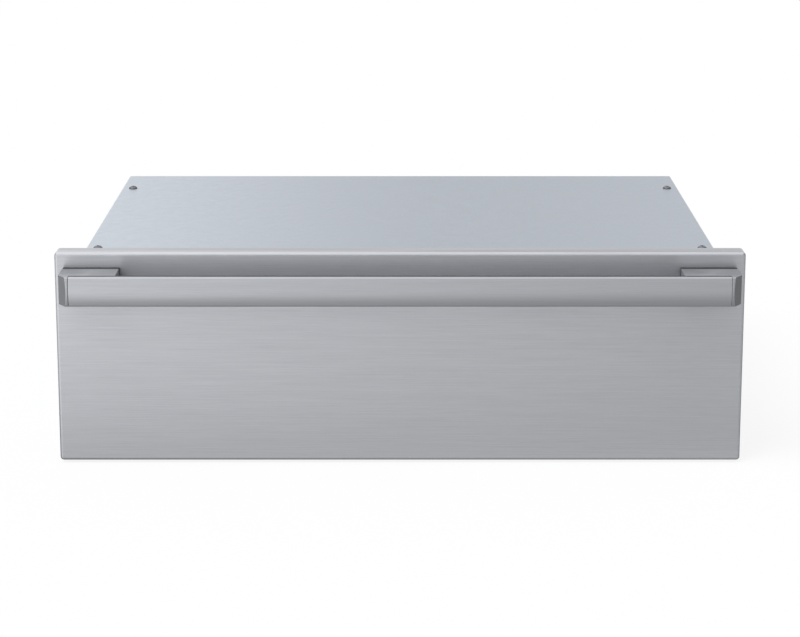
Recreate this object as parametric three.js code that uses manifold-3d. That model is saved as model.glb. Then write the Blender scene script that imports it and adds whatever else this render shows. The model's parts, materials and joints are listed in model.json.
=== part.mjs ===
// Built-in warming drawer, 759 mm wide: a steel cabinet that slides into a kitchen cut-out, and a
// heated drawer on telescopic slides whose stainless front and full-width handle cover it.
//
// Millimetres. +X is to the right of a person facing the drawer, +Y goes back into the cut-out and
// +Z is up. The cabinet stands on z = 0. Depths below are counted from the front's outer face; the
// last group moves everything so that the middle of the footprint is at the origin.

import * as THREE from 'three';
import { mergeVertices } from 'three/addons/utils/BufferGeometryUtils.js';
import Module from 'manifold-3d';

// ---------------------------------------------------------------- driving dimensions

// Drawer front: 29 7/8 in wide, 9 5/16 in high.
const FRONT_WIDTH = 759;
const FRONT_HEIGHT = 237;
const FRONT_DEPTH = 25;
const FRONT_BOTTOM = 3;
const FRONT_EDGE = 3.4;

// Cabinet: made for a cut-out 28 1/2 in wide and 24 in deep.
const CABINET_WIDTH = 720;
const CABINET_TOP = 219.5;
const CABINET_BACK = 606;

// Handle: a bar across the whole front, carried by a block at each end.
const HANDLE_TOP = 223.8;
const HANDLE_HEIGHT = 32.5;
const HANDLE_PROUD = 56.5;
const BAR_THICKNESS = 12;
const BAR_CROWN = 1.2;
const BAR_WALL = 2;
const BAR_HALF = 357.7;
const BLOCK_INNER = 307.5;
const BLOCK_OUTER = 370;
const BLOCK_NOSE = 361.6;
const BLOCK_CHAMFER_Y = -41;
const HANDLE_SCREW_X = 336;
const HANDLE_SCREW_INSET = 9;

// Sheet and clearances.
const SHEET = 1.2;
const LINER_SHEET = 1;
const LID_SHEET = 1;
const FIT = 0.3;

// Face frame, and the warming chamber behind its opening.
const FRAME_FRONT = 34;
const FRAME_BACK = 36;
const FRAME_HALF = 375;
const FRAME_TOP = 234;
const CHAMBER_HALF = 331.5;
const CHAMBER_BOTTOM = 22;
const CHAMBER_TOP = 178;
const CHAMBER_BACK = 545;
const BACK_PANEL_Y = 594;
const CHAMBER_CORNER = 5;

// Cabinet's folds, slots and flange screws.
const FRAME_RETURN = 20;
const BACK_FOLD = 10;
const FLOOR_FLANGE = 15;
const LID_SKIRT = 14.5;
const FLOOR_SLOTS = { depths: [150, 500], pitch: 80, length: 40, width: 6 };
const SIDE_SLOTS = { span: [564, 590], bottom: 60, pitch: 24, height: 5, count: 5 };
const BACK_SLOTS = { left: -120, pitch: 24, width: 6, span: [150, 190], count: 8 };
const FLANGE_SCREWS = { x: 367.5, heights: [30, 118, 206], radius: 2.5 };

// Heating element and what is fixed to the chamber's back wall.
const ELEMENT_Z = 31;
const ELEMENT_RADIUS = 3.25;
const ELEMENT_ROUTE = [[40, 566], [40, 500], [280, 500], [280, 140], [100, 140], [100, 420]];
const ELEMENT_BEND = 32;
const ELEMENT_CLIPS = { side: { x: 280, depth: 320 }, middle: { x: 0, depth: 420 } };
const SENSOR = { x: -120, z: 168 };
const CUTOUT = { x: 110, z: 164, earHole: 15.5, holeRadius: 1.6 };
const GLAND = { x: 296, z: 44 };

// Telescopic slides. Each member is a folded channel: `web` and `tip` are how far its web's outer
// face and its flanges' tips lie from the chamber's side wall.
const SLIDE_Z = 97;
const RAIL_SPAN = [40, 520];
const CAGE_SPAN = [180, 380];
const OUTER_RAIL = { web: 0.3, tip: 11.8, rise: 22.5, wall: 1.5 };
const OUTER_CAGE = { web: 2.2, tip: 9, rise: 19.8, wall: 1 };
const MIDDLE_RAIL = { web: 3.6, tip: 11.8, rise: 17.5, wall: 1.2 };
const INNER_CAGE = { web: 5.2, tip: 10, rise: 15.1, wall: 1 };
const INNER_RAIL = { web: 12.3, tip: 6.6, rise: 12.8, wall: 1.5 };
const LEVER = { pivot: 138, from: 7.4, to: 8.9 };

// Drawer pan.
const PAN_HALF = 306;
const PAN_FRONT = 34;
const PAN_BACK = 528;
const PAN_BOTTOM = 50;
const PAN_TOP = 158;
const PAN_CORNER = 18;
const RIM_HALF = 316.5;
const RIM_BACK = 538;
const RACK = { z: 62, halfX: 290, halfY: 228, footY: 180, pitch: 41 };

// Controls on the face frame's top rail, hidden while the drawer is shut.
const CONTROL_Z = 202;
const WINDOW = { half: 152, rise: 10 };
const FASCIA_FRONT = 29.6;
const FASCIA_HALF = 170;
const FASCIA_RISE = 11.5;
const BOARD_DEPTH = 43;
const BUTTONS = { power: -130, temp_down: -84, temp_up: -58, timer: 62, start: 130 };
const BUTTON_WIDTH = 17;
const BUTTON_HEIGHT = 9;
const BUTTON_GAP = 0.4;
const LENS_HALF = 30;
const LENS_HEIGHT = 13;

// Supply board's front face, and the loom's way from it to the fascia's board.
const SUPPLY_BOARD_Y = 583;
const LOOM_ROUTE = [
  [-270, 570, 135], [-270, 570, 196], [-324, 570, 196], [-324, 54, 196], [-120, 54, 196],
  [-120, 45.2, 196],
];
const LOOM_BEND = 8;
const LOOM_RADIUS = 3.5;

// Moisture vent in the front's inner panel. At rest its slider covers the slots.
const VENT_Z = 169.5;
const VENT_PITCH = 20;
const VENT_COUNT = 8;
const SLIDER_REST = -10;
const DUCT_HALF = 98;

// Skin's drain slots, ring seal and rubber stops.
const SKIN_SLOTS = { count: 9, pitch: 20, length: 12, span: [12, 16] };
const SEAL = { half: 346, span: [10.5, 188.5], corner: 14 };
const SEAL_OPENING = { half: 334, span: [19.8, 180.2], corner: 6 };
const STOP = { x: 360, z: 212, radius: 5 };

// Lid screws: distance from the middle, and depth behind the front.
const LID_SCREW_X = 346;
const LID_SCREW_DEPTHS = { front: 123, rear: 512 };

const SIDES = { left: -1, right: 1 };

// ---------------------------------------------------------------- worked-out dimensions

const FRONT_HALF = FRONT_WIDTH / 2;
const FRONT_TOP = FRONT_BOTTOM + FRONT_HEIGHT;
const HANDLE_BOTTOM = HANDLE_TOP - HANDLE_HEIGHT;
const HANDLE_SCREW_HEIGHTS = [HANDLE_BOTTOM + HANDLE_SCREW_INSET, HANDLE_TOP - HANDLE_SCREW_INSET];
const BAR_FRONT = -HANDLE_PROUD;
const BAR_BACK = BAR_FRONT + BAR_THICKNESS;
const CABINET_HALF = CABINET_WIDTH / 2;
const SIDE_OUTER = CABINET_HALF - LID_SHEET - FIT;
const SIDE_INNER = SIDE_OUTER - SHEET;
const SIDE_TOP = CABINET_TOP - LID_SHEET - FIT;
const SIDE_BACK = CABINET_BACK - LID_SHEET - FIT;
const FLANGE_OUTER = SIDE_INNER - FIT;
const FLANGE_INNER = FLANGE_OUTER - SHEET;
const FLOOR = SHEET + FIT;
const SHELL_FRONT = FRAME_BACK + FIT;
const LINER_HALF = CHAMBER_HALF + LINER_SHEET;
const SKIN_HALF = FRONT_HALF - SHEET;
const INNER_PANEL_BACK = FRONT_DEPTH - FIT;
const CENTRE_DEPTH = (CABINET_BACK - HANDLE_PROUD) / 2;

// ---------------------------------------------------------------- solids

const wasm = await Module();
wasm.setup();

// A closed geometry as a solid that can be joined and cut.
function solid(geometry) {
  const bare = geometry.clone();
  bare.deleteAttribute('normal');
  bare.deleteAttribute('uv');
  const merged = mergeVertices(bare);
  return new wasm.Manifold(new wasm.Mesh({
    numProp: 3,
    vertProperties: Float32Array.from(merged.attributes.position.array),
    triVerts: Uint32Array.from(merged.index.array),
  }));
}

// A solid as a geometry.
function geometryOf(body) {
  const mesh = body.getMesh();
  const geometry = new THREE.BufferGeometry();
  geometry.setAttribute('position', new THREE.BufferAttribute(mesh.vertProperties, 3));
  geometry.setIndex(new THREE.BufferAttribute(mesh.triVerts, 1));
  geometry.computeVertexNormals();
  return geometry;
}

// The geometries joined into one.
function join(...geometries) {
  return geometryOf(geometries.map(solid).reduce((whole, piece) => whole.add(piece)));
}

// The first geometry with the others taken out of it.
function cut(geometry, ...tools) {
  return geometryOf(tools.map(solid).reduce((rest, tool) => rest.subtract(tool), solid(geometry)));
}

// What two geometries share.
function common(first, second) {
  return geometryOf(solid(first).intersect(solid(second)));
}

// A block between two limits along each axis.
function block([x0, x1], [y0, y1], [z0, z1]) {
  const geometry = new THREE.BoxGeometry(x1 - x0, y1 - y0, z1 - z0);
  return geometry.translate((x0 + x1) / 2, (y0 + y1) / 2, (z0 + z1) / 2);
}

// Limits along X for a piece that lies between two distances from the middle, on one side.
function across(side, inner, outer) {
  return side > 0 ? [inner, outer] : [-outer, -inner];
}

// A closed outline through points.
function outline(points) {
  return new THREE.Shape(points.map(([x, y]) => new THREE.Vector2(x, y)));
}

// A rectangle with round corners.
function roundedRectangle([x0, x1], [y0, y1], radius) {
  const shape = new THREE.Shape();
  shape.absarc(x1 - radius, y1 - radius, radius, 0, Math.PI / 2);
  shape.absarc(x0 + radius, y1 - radius, radius, Math.PI / 2, Math.PI);
  shape.absarc(x0 + radius, y0 + radius, radius, Math.PI, 1.5 * Math.PI);
  shape.absarc(x1 - radius, y0 + radius, radius, 1.5 * Math.PI, 2 * Math.PI);
  return shape;
}

// How an outline's own x and y, and the way it is extruded, turn to face each axis.
const TURNS = {
  X: new THREE.Matrix4().set(0, 0, 1, 0, 1, 0, 0, 0, 0, 1, 0, 0, 0, 0, 0, 1),
  Y: new THREE.Matrix4().set(1, 0, 0, 0, 0, 0, -1, 0, 0, 1, 0, 0, 0, 0, 0, 1),
  Z: new THREE.Matrix4(),
};

// An outline extruded along an axis, from a low limit to a high one.
function prism(shape, axis, [low, high], curveSegments = 4) {
  const geometry = new THREE.ExtrudeGeometry(shape, {
    depth: high - low,
    bevelEnabled: false,
    curveSegments,
  });
  geometry.applyMatrix4(TURNS[axis]);
  const shift = { X: [low, 0, 0], Y: [0, high, 0], Z: [0, 0, low] }[axis];
  return geometry.translate(...shift);
}

// A round bar along an axis, centred on a point given by its other two coordinates.
function rod(axis, [low, high], [u, v], radius, sides) {
  const circle = new THREE.Shape();
  circle.absarc(u, v, radius, 0, 2 * Math.PI);
  return prism(circle, axis, [low, high], sides / 2);
}

// A solid of revolution about a line parallel to Y: the profile lists [radius, depth] pairs.
function turnedAlongY(profile, [x, z], sides = 16) {
  const points = profile.map(([radius, depth]) => new THREE.Vector2(radius, depth));
  return new THREE.LatheGeometry(points, sides).translate(x, 0, z);
}

// A route through corner points, each corner rounded off by a bend that starts `reach` before it.
function bentRoute(corners, reach) {
  const points = corners.map(([x, y, z]) => new THREE.Vector3(x, y, z));
  const route = new THREE.CurvePath();
  let from = points[0];
  for (let i = 1; i < points.length - 1; i += 1) {
    const corner = points[i];
    const before = corner.clone().lerp(points[i - 1], reach / corner.distanceTo(points[i - 1]));
    const after = corner.clone().lerp(points[i + 1], reach / corner.distanceTo(points[i + 1]));
    route.add(new THREE.LineCurve3(from, before));
    route.add(new THREE.QuadraticBezierCurve3(before, corner, after));
    from = after;
  }
  route.add(new THREE.LineCurve3(from, points[points.length - 1]));
  return route;
}

// A round tube that follows a route.
function tube(route, radius, steps, sides) {
  const circle = new THREE.Shape();
  for (let i = 0; i < sides; i += 1) {
    const angle = (2 * Math.PI * i) / sides;
    const method = i === 0 ? 'moveTo' : 'lineTo';
    circle[method](radius * Math.cos(angle), radius * Math.sin(angle));
  }
  return new THREE.ExtrudeGeometry(circle, { extrudePath: route, steps, bevelEnabled: false });
}

// ---------------------------------------------------------------- finishes

function finish(color, roughness, metalness) {
  return () => new THREE.MeshStandardMaterial({ color, roughness, metalness });
}

const FINISHES = {
  stainless: finish(0xb4b6ba, 0.36, 1),
  panSteel: finish(0xb9babb, 0.3, 1),
  linerSteel: finish(0xa9abad, 0.42, 1),
  zincSheet: finish(0xc4cad2, 0.45, 0.9),
  slideSteel: finish(0xa7acb1, 0.35, 1),
  cageSteel: finish(0x8d9398, 0.4, 1),
  screwSteel: finish(0x9a9da2, 0.35, 1),
  elementSheath: finish(0x5a544e, 0.55, 0.8),
  fibre: finish(0xd9d3c2, 0.95, 0),
  gasketRubber: finish(0x2c2d2f, 0.8, 0),
  blackPlastic: finish(0x1d1e20, 0.5, 0),
  leverPlastic: finish(0x26282b, 0.55, 0),
  smokedLens: finish(0x120f12, 0.1, 0),
  buttonPlastic: finish(0x3a3c3f, 0.45, 0),
  circuitBoard: finish(0x1f5136, 0.55, 0),
  ceramic: finish(0xe4e0d6, 0.5, 0),
  harnessSleeve: finish(0x2a2a2c, 0.7, 0),
};

const cabinet = new THREE.Group();
const slides = new THREE.Group();
const controls = new THREE.Group();
const drawer = new THREE.Group();

// One named piece in a group.
function place(group, name, geometry, material) {
  const mesh = new THREE.Mesh(geometry, material());
  mesh.name = name;
  group.add(mesh);
}

// ---------------------------------------------------------------- cabinet shell

// Floor sheet with upturned flanges inside the side panels and two rows of breather slots.
function basePan() {
  const flangeSpan = [FRAME_BACK + FRAME_RETURN + 1, BACK_PANEL_Y - BACK_FOLD - 1];
  const flanges = Object.values(SIDES).map((side) => (
    block(across(side, FLANGE_INNER, FLANGE_OUTER), flangeSpan, [0.5 * SHEET, FLOOR_FLANGE])
  ));
  const { depths, pitch, length, width } = FLOOR_SLOTS;
  const slots = [];
  for (const depth of depths) {
    for (let i = -3; i <= 3; i += 1) {
      const along = [i * pitch - length / 2, i * pitch + length / 2];
      slots.push(block(along, [depth - width / 2, depth + width / 2], [-1, SHEET + 1]));
    }
  }
  const floor = block([-SIDE_OUTER, SIDE_OUTER], [SHELL_FRONT, SIDE_BACK], [0, SHEET]);
  return cut(join(floor, ...flanges), ...slots);
}

// Side sheet, folded in at the top where the lid is screwed down, with louvre slots at the rear.
function sidePanel(side) {
  const sheet = block(across(side, SIDE_INNER, SIDE_OUTER), [SHELL_FRONT, SIDE_BACK], [FLOOR, SIDE_TOP]);
  const fold = block(across(side, LINER_HALF, SIDE_OUTER), [60, 590], [SIDE_TOP - SHEET, SIDE_TOP]);
  const holes = Object.values(LID_SCREW_DEPTHS).map((depth) => (
    rod('Z', [SIDE_TOP - 3, SIDE_TOP + 1], [side * LID_SCREW_X, depth], 2.4, 6)
  ));
  const slots = [];
  for (let i = 0; i < SIDE_SLOTS.count; i += 1) {
    const z = SIDE_SLOTS.bottom + i * SIDE_SLOTS.pitch;
    const through = across(side, SIDE_INNER - 1, SIDE_OUTER + 1);
    slots.push(block(through, SIDE_SLOTS.span, [z, z + SIDE_SLOTS.height]));
  }
  return cut(join(sheet, fold), ...holes, ...slots);
}

// Back sheet, folded forward along its sides and top, with louvres and the hole for the cord's gland.
function backPanel() {
  const top = SIDE_TOP - SHEET - FIT;
  const tray = cut(
    block([-FLANGE_OUTER, FLANGE_OUTER], [BACK_PANEL_Y - BACK_FOLD, BACK_PANEL_Y + SHEET], [FLOOR, top]),
    block([-FLANGE_INNER, FLANGE_INNER], [BACK_PANEL_Y - BACK_FOLD - 1, BACK_PANEL_Y], [0, top - SHEET]),
  );
  const louvres = [];
  for (let i = 0; i < BACK_SLOTS.count; i += 1) {
    const x = BACK_SLOTS.left + i * BACK_SLOTS.pitch;
    const through = [BACK_PANEL_Y - 1, BACK_PANEL_Y + 3];
    louvres.push(block([x, x + BACK_SLOTS.width], through, BACK_SLOTS.span));
  }
  const glandHole = rod('Y', [BACK_PANEL_Y - 3, BACK_PANEL_Y + 4], [GLAND.x, GLAND.z], 10.6, 16);
  return cut(tray, ...louvres, glandHole);
}

// Lid with skirts over the side panels and the back.
function topCover() {
  const skirtBottom = CABINET_TOP - LID_SKIRT;
  const inner = CABINET_HALF - LID_SHEET;
  const inside = block(
    [-inner, inner],
    [SHELL_FRONT - 1, CABINET_BACK - LID_SHEET],
    [skirtBottom - 1, CABINET_TOP - LID_SHEET],
  );
  const holes = [];
  for (const side of Object.values(SIDES)) {
    for (const depth of Object.values(LID_SCREW_DEPTHS)) {
      holes.push(rod('Z', [CABINET_TOP - 3, CABINET_TOP + 1], [side * LID_SCREW_X, depth], 2.4, 6));
    }
  }
  return cut(
    block([-CABINET_HALF, CABINET_HALF], [SHELL_FRONT, CABINET_BACK], [skirtBottom, CABINET_TOP]),
    inside,
    ...holes,
  );
}

// Domed lid screw with its shank through the lid and the side panel's fold.
function lidScrew(side, depth) {
  const seat = CABINET_TOP + 0.1;
  const profile = [
    [0, seat - 9], [1.9, seat - 8], [1.9, seat], [5.4, seat], [5.4, seat + 0.7],
    [4.6, seat + 2.1], [3.0, seat + 2.9], [0, seat + 3.3],
  ];
  const points = profile.map(([radius, z]) => new THREE.Vector2(radius, z));
  const screw = new THREE.LatheGeometry(points, 12).rotateX(Math.PI / 2);
  return screw.translate(side * LID_SCREW_X, depth, 0);
}

// Face frame: a flat plate that overlaps the cut-out's edges, with returns that join the shell.
function frontFrame() {
  const plate = block([-FRAME_HALF, FRAME_HALF], [FRAME_FRONT, FRAME_BACK], [FLOOR, FRAME_TOP]);
  const returnSpan = [FRAME_FRONT + 1, FRAME_BACK + FRAME_RETURN];
  const returns = Object.values(SIDES).map((side) => (
    block(across(side, FLANGE_INNER, FLANGE_OUTER), returnSpan, [FLOOR_FLANGE + 1, SIDE_TOP - 3])
  ));
  returns.push(block([-350, 350], returnSpan, [FLOOR, FLOOR + SHEET]));
  returns.push(block([-320, 320], returnSpan, [SIDE_TOP - SHEET, SIDE_TOP]));
  const through = [FRAME_FRONT - 1, FRAME_BACK + 1];
  const opening = roundedRectangle(
    [-CHAMBER_HALF, CHAMBER_HALF],
    [CHAMBER_BOTTOM, CHAMBER_TOP],
    CHAMBER_CORNER,
  );
  const { half, rise } = WINDOW;
  const window = block([-half, half], through, [CONTROL_Z - rise, CONTROL_Z + rise]);
  const screwHoles = [];
  for (const side of Object.values(SIDES)) {
    for (const z of FLANGE_SCREWS.heights) {
      screwHoles.push(rod('Y', through, [side * FLANGE_SCREWS.x, z], FLANGE_SCREWS.radius, 6));
    }
  }
  return cut(join(plate, ...returns), prism(opening, 'Y', through), window, ...screwHoles);
}

// ---------------------------------------------------------------- warming chamber

// One-piece liner, open to the front, with holes for the element's ends and the sensor.
function chamberLiner() {
  const back = [CHAMBER_BACK - 1, CHAMBER_BACK + 3];
  const outer = block(
    [-LINER_HALF, LINER_HALF],
    [SHELL_FRONT, CHAMBER_BACK + LINER_SHEET],
    [CHAMBER_BOTTOM - LINER_SHEET, CHAMBER_TOP + LINER_SHEET],
  );
  const elementEnd = ELEMENT_ROUTE[0][0];
  return cut(
    outer,
    block([-CHAMBER_HALF, CHAMBER_HALF], [SHELL_FRONT - 1, CHAMBER_BACK], [CHAMBER_BOTTOM, CHAMBER_TOP]),
    rod('Y', back, [-elementEnd, ELEMENT_Z], 4.5, 8),
    rod('Y', back, [elementEnd, ELEMENT_Z], 4.5, 8),
    rod('Y', back, [SENSOR.x, SENSOR.z], 3.5, 8),
    ...cutoutHoles(back),
  );
}

// Holes for the thermostat's two screws, through its ears and the liner's back.
function cutoutHoles(span) {
  const { x, z, earHole, holeRadius } = CUTOUT;
  return Object.values(SIDES).map((side) => rod('Y', span, [x + side * earHole, z], holeRadius, 6));
}

// Sheathed element: one rod bent into an M over the chamber's floor, its ends through the back.
function heatingElement() {
  const left = ELEMENT_ROUTE.map(([x, y]) => [-x, y, ELEMENT_Z]);
  const right = ELEMENT_ROUTE.map(([x, y]) => [x, y, ELEMENT_Z]).reverse();
  return tube(bentRoute([...left, ...right], ELEMENT_BEND), ELEMENT_RADIUS, 100, 6);
}

// Floor clip with an eye round the element.
function elementClip(x, y, alongX) {
  const foot = CHAMBER_BOTTOM + FIT - ELEMENT_Z;
  const shape = new THREE.Shape();
  shape.moveTo(-11, foot);
  shape.lineTo(11, foot);
  shape.lineTo(11, foot + 1.5);
  shape.lineTo(5, foot + 1.5);
  shape.lineTo(5, 0);
  shape.absarc(0, 0, 5, 0, Math.PI);
  shape.lineTo(-5, foot + 1.5);
  shape.lineTo(-11, foot + 1.5);
  const eye = new THREE.Path();
  eye.absarc(0, 0, ELEMENT_RADIUS + 0.5, 0, 2 * Math.PI);
  shape.holes.push(eye);
  const clip = prism(shape, 'Y', [-6, 6], 6);
  if (alongX) {
    clip.rotateZ(Math.PI / 2);
  }
  return clip.translate(x, y, ELEMENT_Z);
}

// Temperature probe through the liner's back wall, above the pan's rim.
function temperatureSensor() {
  return turnedAlongY([
    [0, 505], [1.8, 506], [2.4, 508], [2.4, CHAMBER_BACK - 2.5], [7, CHAMBER_BACK - 2.5],
    [7, CHAMBER_BACK - FIT], [3, CHAMBER_BACK - FIT], [3, 556], [0, 556],
  ], [SENSOR.x, SENSOR.z], 12);
}

// Disc thermostat on the outside of the liner's back wall: body, mounting ears and two tabs.
function highLimitCutout() {
  const face = CHAMBER_BACK + LINER_SHEET + FIT;
  const { x, z } = CUTOUT;
  const thermostat = join(
    rod('Y', [face, face + 9], [x, z], 10.5, 16),
    block([x - 19, x + 19], [face, face + 1.2], [z - 4, z + 4]),
    block([x - 6, x - 4.5], [face + 8, face + 17], [z - 3, z + 3]),
    block([x + 4.5, x + 6], [face + 8, face + 17], [z - 3, z + 3]),
  );
  return cut(thermostat, ...cutoutHoles([face - 1, face + 3]));
}

// ---------------------------------------------------------------- electrics

// Strip that carries the buttons and the display, in front of the frame's window.
function controlFascia() {
  const strip = roundedRectangle(
    [-FASCIA_HALF, FASCIA_HALF],
    [CONTROL_Z - FASCIA_RISE, CONTROL_Z + FASCIA_RISE],
    3,
  );
  for (const x of Object.values(BUTTONS)) {
    const half = BUTTON_WIDTH / 2 + BUTTON_GAP;
    const rise = BUTTON_HEIGHT / 2 + BUTTON_GAP;
    strip.holes.push(roundedRectangle([x - half, x + half], [CONTROL_Z - rise, CONTROL_Z + rise], 2));
  }
  const halfLens = LENS_HALF + FIT;
  const lensRise = LENS_HEIGHT / 2 + FIT;
  strip.holes.push(roundedRectangle(
    [-halfLens, halfLens],
    [CONTROL_Z - lensRise, CONTROL_Z + lensRise],
    1.5,
  ));
  return prism(strip, 'Y', [FASCIA_FRONT, FRAME_FRONT - FIT], 2);
}

// Push button: cap in front, a wider collar behind the fascia and a stem towards its switch.
function pushButton(x) {
  const half = BUTTON_WIDTH / 2;
  const rise = BUTTON_HEIGHT / 2;
  const cap = roundedRectangle([x - half, x + half], [CONTROL_Z - rise, CONTROL_Z + rise], 1.8);
  const collar = [x - half - 1.5, x + half + 1.5];
  return join(
    prism(cap, 'Y', [FASCIA_FRONT - 1.6, 36], 3),
    block(collar, [35.4, 37], [CONTROL_Z - rise - 1.5, CONTROL_Z + rise + 1.5]),
    block([x - 2, x + 2], [36.5, 39.4], [CONTROL_Z - 2, CONTROL_Z + 2]),
  );
}

// Smoked window over the display.
function displayLens() {
  const rise = LENS_HEIGHT / 2;
  const pane = roundedRectangle([-LENS_HALF, LENS_HALF], [CONTROL_Z - rise, CONTROL_Z + rise], 1.2);
  return prism(pane, 'Y', [FASCIA_FRONT + 0.4, FASCIA_FRONT + 2.4], 3);
}

// Board behind the fascia: display block, one switch per button, four posts to the frame.
function uiBoard() {
  const pieces = [block([-148, 148], [BOARD_DEPTH, BOARD_DEPTH + 1.6], [CONTROL_Z - 11, CONTROL_Z + 11])];
  pieces.push(block([-28, 28], [36.6, BOARD_DEPTH + 0.5], [CONTROL_Z - 6, CONTROL_Z + 6]));
  for (const x of Object.values(BUTTONS)) {
    pieces.push(block([x - 3, x + 3], [40.9, BOARD_DEPTH + 0.5], [CONTROL_Z - 3, CONTROL_Z + 3]));
  }
  for (const x of [-144, 144]) {
    for (const z of [CONTROL_Z - 12, CONTROL_Z + 12]) {
      pieces.push(block([x - 3, x + 3], [FRAME_BACK + FIT, BOARD_DEPTH + 1.6], [z - 2, z + 2]));
    }
  }
  return join(...pieces);
}

// Supply board on posts from the back panel: transformer, two relays, capacitor and connector.
function powerBoard() {
  const face = SUPPLY_BOARD_Y;
  const pieces = [
    block([-330, -190], [face, face + 1.6], [60, 146]),
    block([-322, -286], [face - 20, face + 0.5], [68, 98]),
    block([-274, -246], [face - 15, face + 0.5], [68, 80]),
    block([-274, -246], [face - 15, face + 0.5], [86, 98]),
    block([-236, -198], [face - 9, face + 0.5], [68, 78]),
    rod('Y', [face - 16, face + 0.5], [-215, 96], 7, 10),
    block([-300, -240], [face - 8, face + 0.5], [126, 134]),
  ];
  for (const x of [-325, -195]) {
    for (const z of [65, 141]) {
      pieces.push(block([x - 3, x + 3], [face + 1, BACK_PANEL_Y - FIT], [z - 3, z + 3]));
    }
  }
  return join(...pieces);
}

// Three-way terminal block on the back panel's inside.
function terminalBlock() {
  const pieces = [block([212, 262], [578, BACK_PANEL_Y - FIT], [32, 56])];
  for (let i = 0; i < 4; i += 1) {
    const x = 212 + i * 16;
    pieces.push(block([x, x + 2], [572, 580], [32, 56]));
  }
  return join(...pieces);
}

// Bushing where the supply cord enters, with a flange on each side of the back panel.
function cordGland() {
  const profile = [
    [5, 586], [12.5, 586], [12.5, BACK_PANEL_Y - FIT], [10, BACK_PANEL_Y - FIT],
    [10, BACK_PANEL_Y + SHEET + FIT], [13, BACK_PANEL_Y + SHEET + FIT], [13, 599],
    [9, 602], [5, 602], [5, 586],
  ];
  return turnedAlongY(profile, [GLAND.x, GLAND.z], 16);
}

// Sleeved loom from the supply board, along the left of the top insulation, to the fascia's board.
function wiringHarness() {
  return tube(bentRoute(LOOM_ROUTE, LOOM_BEND), LOOM_RADIUS, 72, 6);
}

// ---------------------------------------------------------------- telescopic slides

// One member of a slide, seen end on as a channel and extruded along its span.
function channel(side, { web, tip, rise, wall }, [front, back]) {
  const x = (depth) => side * (CHAMBER_HALF - depth);
  const inside = web + Math.sign(tip - web) * wall;
  const z = (offset) => SLIDE_Z + offset;
  return prism(outline([
    [x(web), z(-rise)], [x(tip), z(-rise)], [x(tip), z(-rise + wall)], [x(inside), z(-rise + wall)],
    [x(inside), z(rise - wall)], [x(tip), z(rise - wall)], [x(tip), z(rise)], [x(web), z(rise)],
  ]), 'Y', [front, back]);
}

// Drawer member of a slide, with the release lever's pivot pin.
function innerRail(side) {
  const pin = across(side, CHAMBER_HALF - INNER_RAIL.web + 0.7, CHAMBER_HALF - LEVER.from + 0.5);
  return join(
    channel(side, INNER_RAIL, RAIL_SPAN),
    rod('X', pin, [LEVER.pivot, SLIDE_Z], 2, 8),
  );
}

// Release lever: an eye on the pin, and an arm whose end a finger lifts to free the drawer.
function releaseLever(side) {
  const end = LEVER.pivot + 46;
  const arm = new THREE.Shape();
  arm.moveTo(LEVER.pivot, SLIDE_Z - 4.5);
  arm.lineTo(end - 8, SLIDE_Z - 2);
  arm.lineTo(end, SLIDE_Z - 4);
  arm.lineTo(end, SLIDE_Z + 3);
  arm.lineTo(LEVER.pivot, SLIDE_Z + 4.5);
  arm.absarc(LEVER.pivot, SLIDE_Z, 4.5, Math.PI / 2, 1.5 * Math.PI);
  const eye = new THREE.Path();
  eye.absarc(LEVER.pivot, SLIDE_Z, 2.3, 0, 2 * Math.PI);
  arm.holes.push(eye);
  return prism(arm, 'X', across(side, CHAMBER_HALF - LEVER.to, CHAMBER_HALF - LEVER.from), 5);
}

// ---------------------------------------------------------------- drawer front

// Stainless skin: a shallow tray, its face and edges in one sheet, its front edges rounded.
function frontSkin() {
  const corner = 0.6;
  const face = roundedRectangle(
    [-FRONT_HALF + FRONT_EDGE, FRONT_HALF - FRONT_EDGE],
    [FRONT_BOTTOM + FRONT_EDGE, FRONT_TOP - FRONT_EDGE],
    corner,
  );
  const rounded = new THREE.ExtrudeGeometry(face, {
    depth: FRONT_DEPTH,
    bevelThickness: FRONT_EDGE,
    bevelSize: FRONT_EDGE,
    bevelSegments: 3,
    curveSegments: 2,
  });
  rounded.applyMatrix4(TURNS.Y).translate(0, FRONT_DEPTH + FRONT_EDGE, 0);
  const half = FRONT_HALF + 1;
  const tray = common(
    rounded,
    block([-half, half], [-1, FRONT_DEPTH], [FRONT_BOTTOM - 1, FRONT_TOP + 1]),
  );
  const tools = [block(
    [-SKIN_HALF, SKIN_HALF],
    [SHEET, FRONT_DEPTH + 1],
    [FRONT_BOTTOM + SHEET, FRONT_TOP - SHEET],
  )];
  for (const side of Object.values(SIDES)) {
    for (const z of HANDLE_SCREW_HEIGHTS) {
      tools.push(rod('Y', [-1, SHEET + 1], [side * HANDLE_SCREW_X, z], 3, 8));
    }
  }
  const { count, pitch, length, span } = SKIN_SLOTS;
  for (let i = 0; i < count; i += 1) {
    const x = (i - (count - 1) / 2) * pitch;
    const along = [x - length / 2, x + length / 2];
    tools.push(block(along, span, [FRONT_BOTTOM - 1, FRONT_BOTTOM + SHEET + 1]));
  }
  return cut(tray, ...tools);
}

// Slots of the moisture vent, moved sideways by `shift`.
function ventSlots(shift, span) {
  const slots = [];
  for (let i = 0; i < VENT_COUNT; i += 1) {
    const x = (i - (VENT_COUNT - 1) / 2) * VENT_PITCH + shift;
    slots.push(block([x - 4.2, x + 4.2], span, [VENT_Z - 3, VENT_Z + 3]));
  }
  return slots;
}

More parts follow.
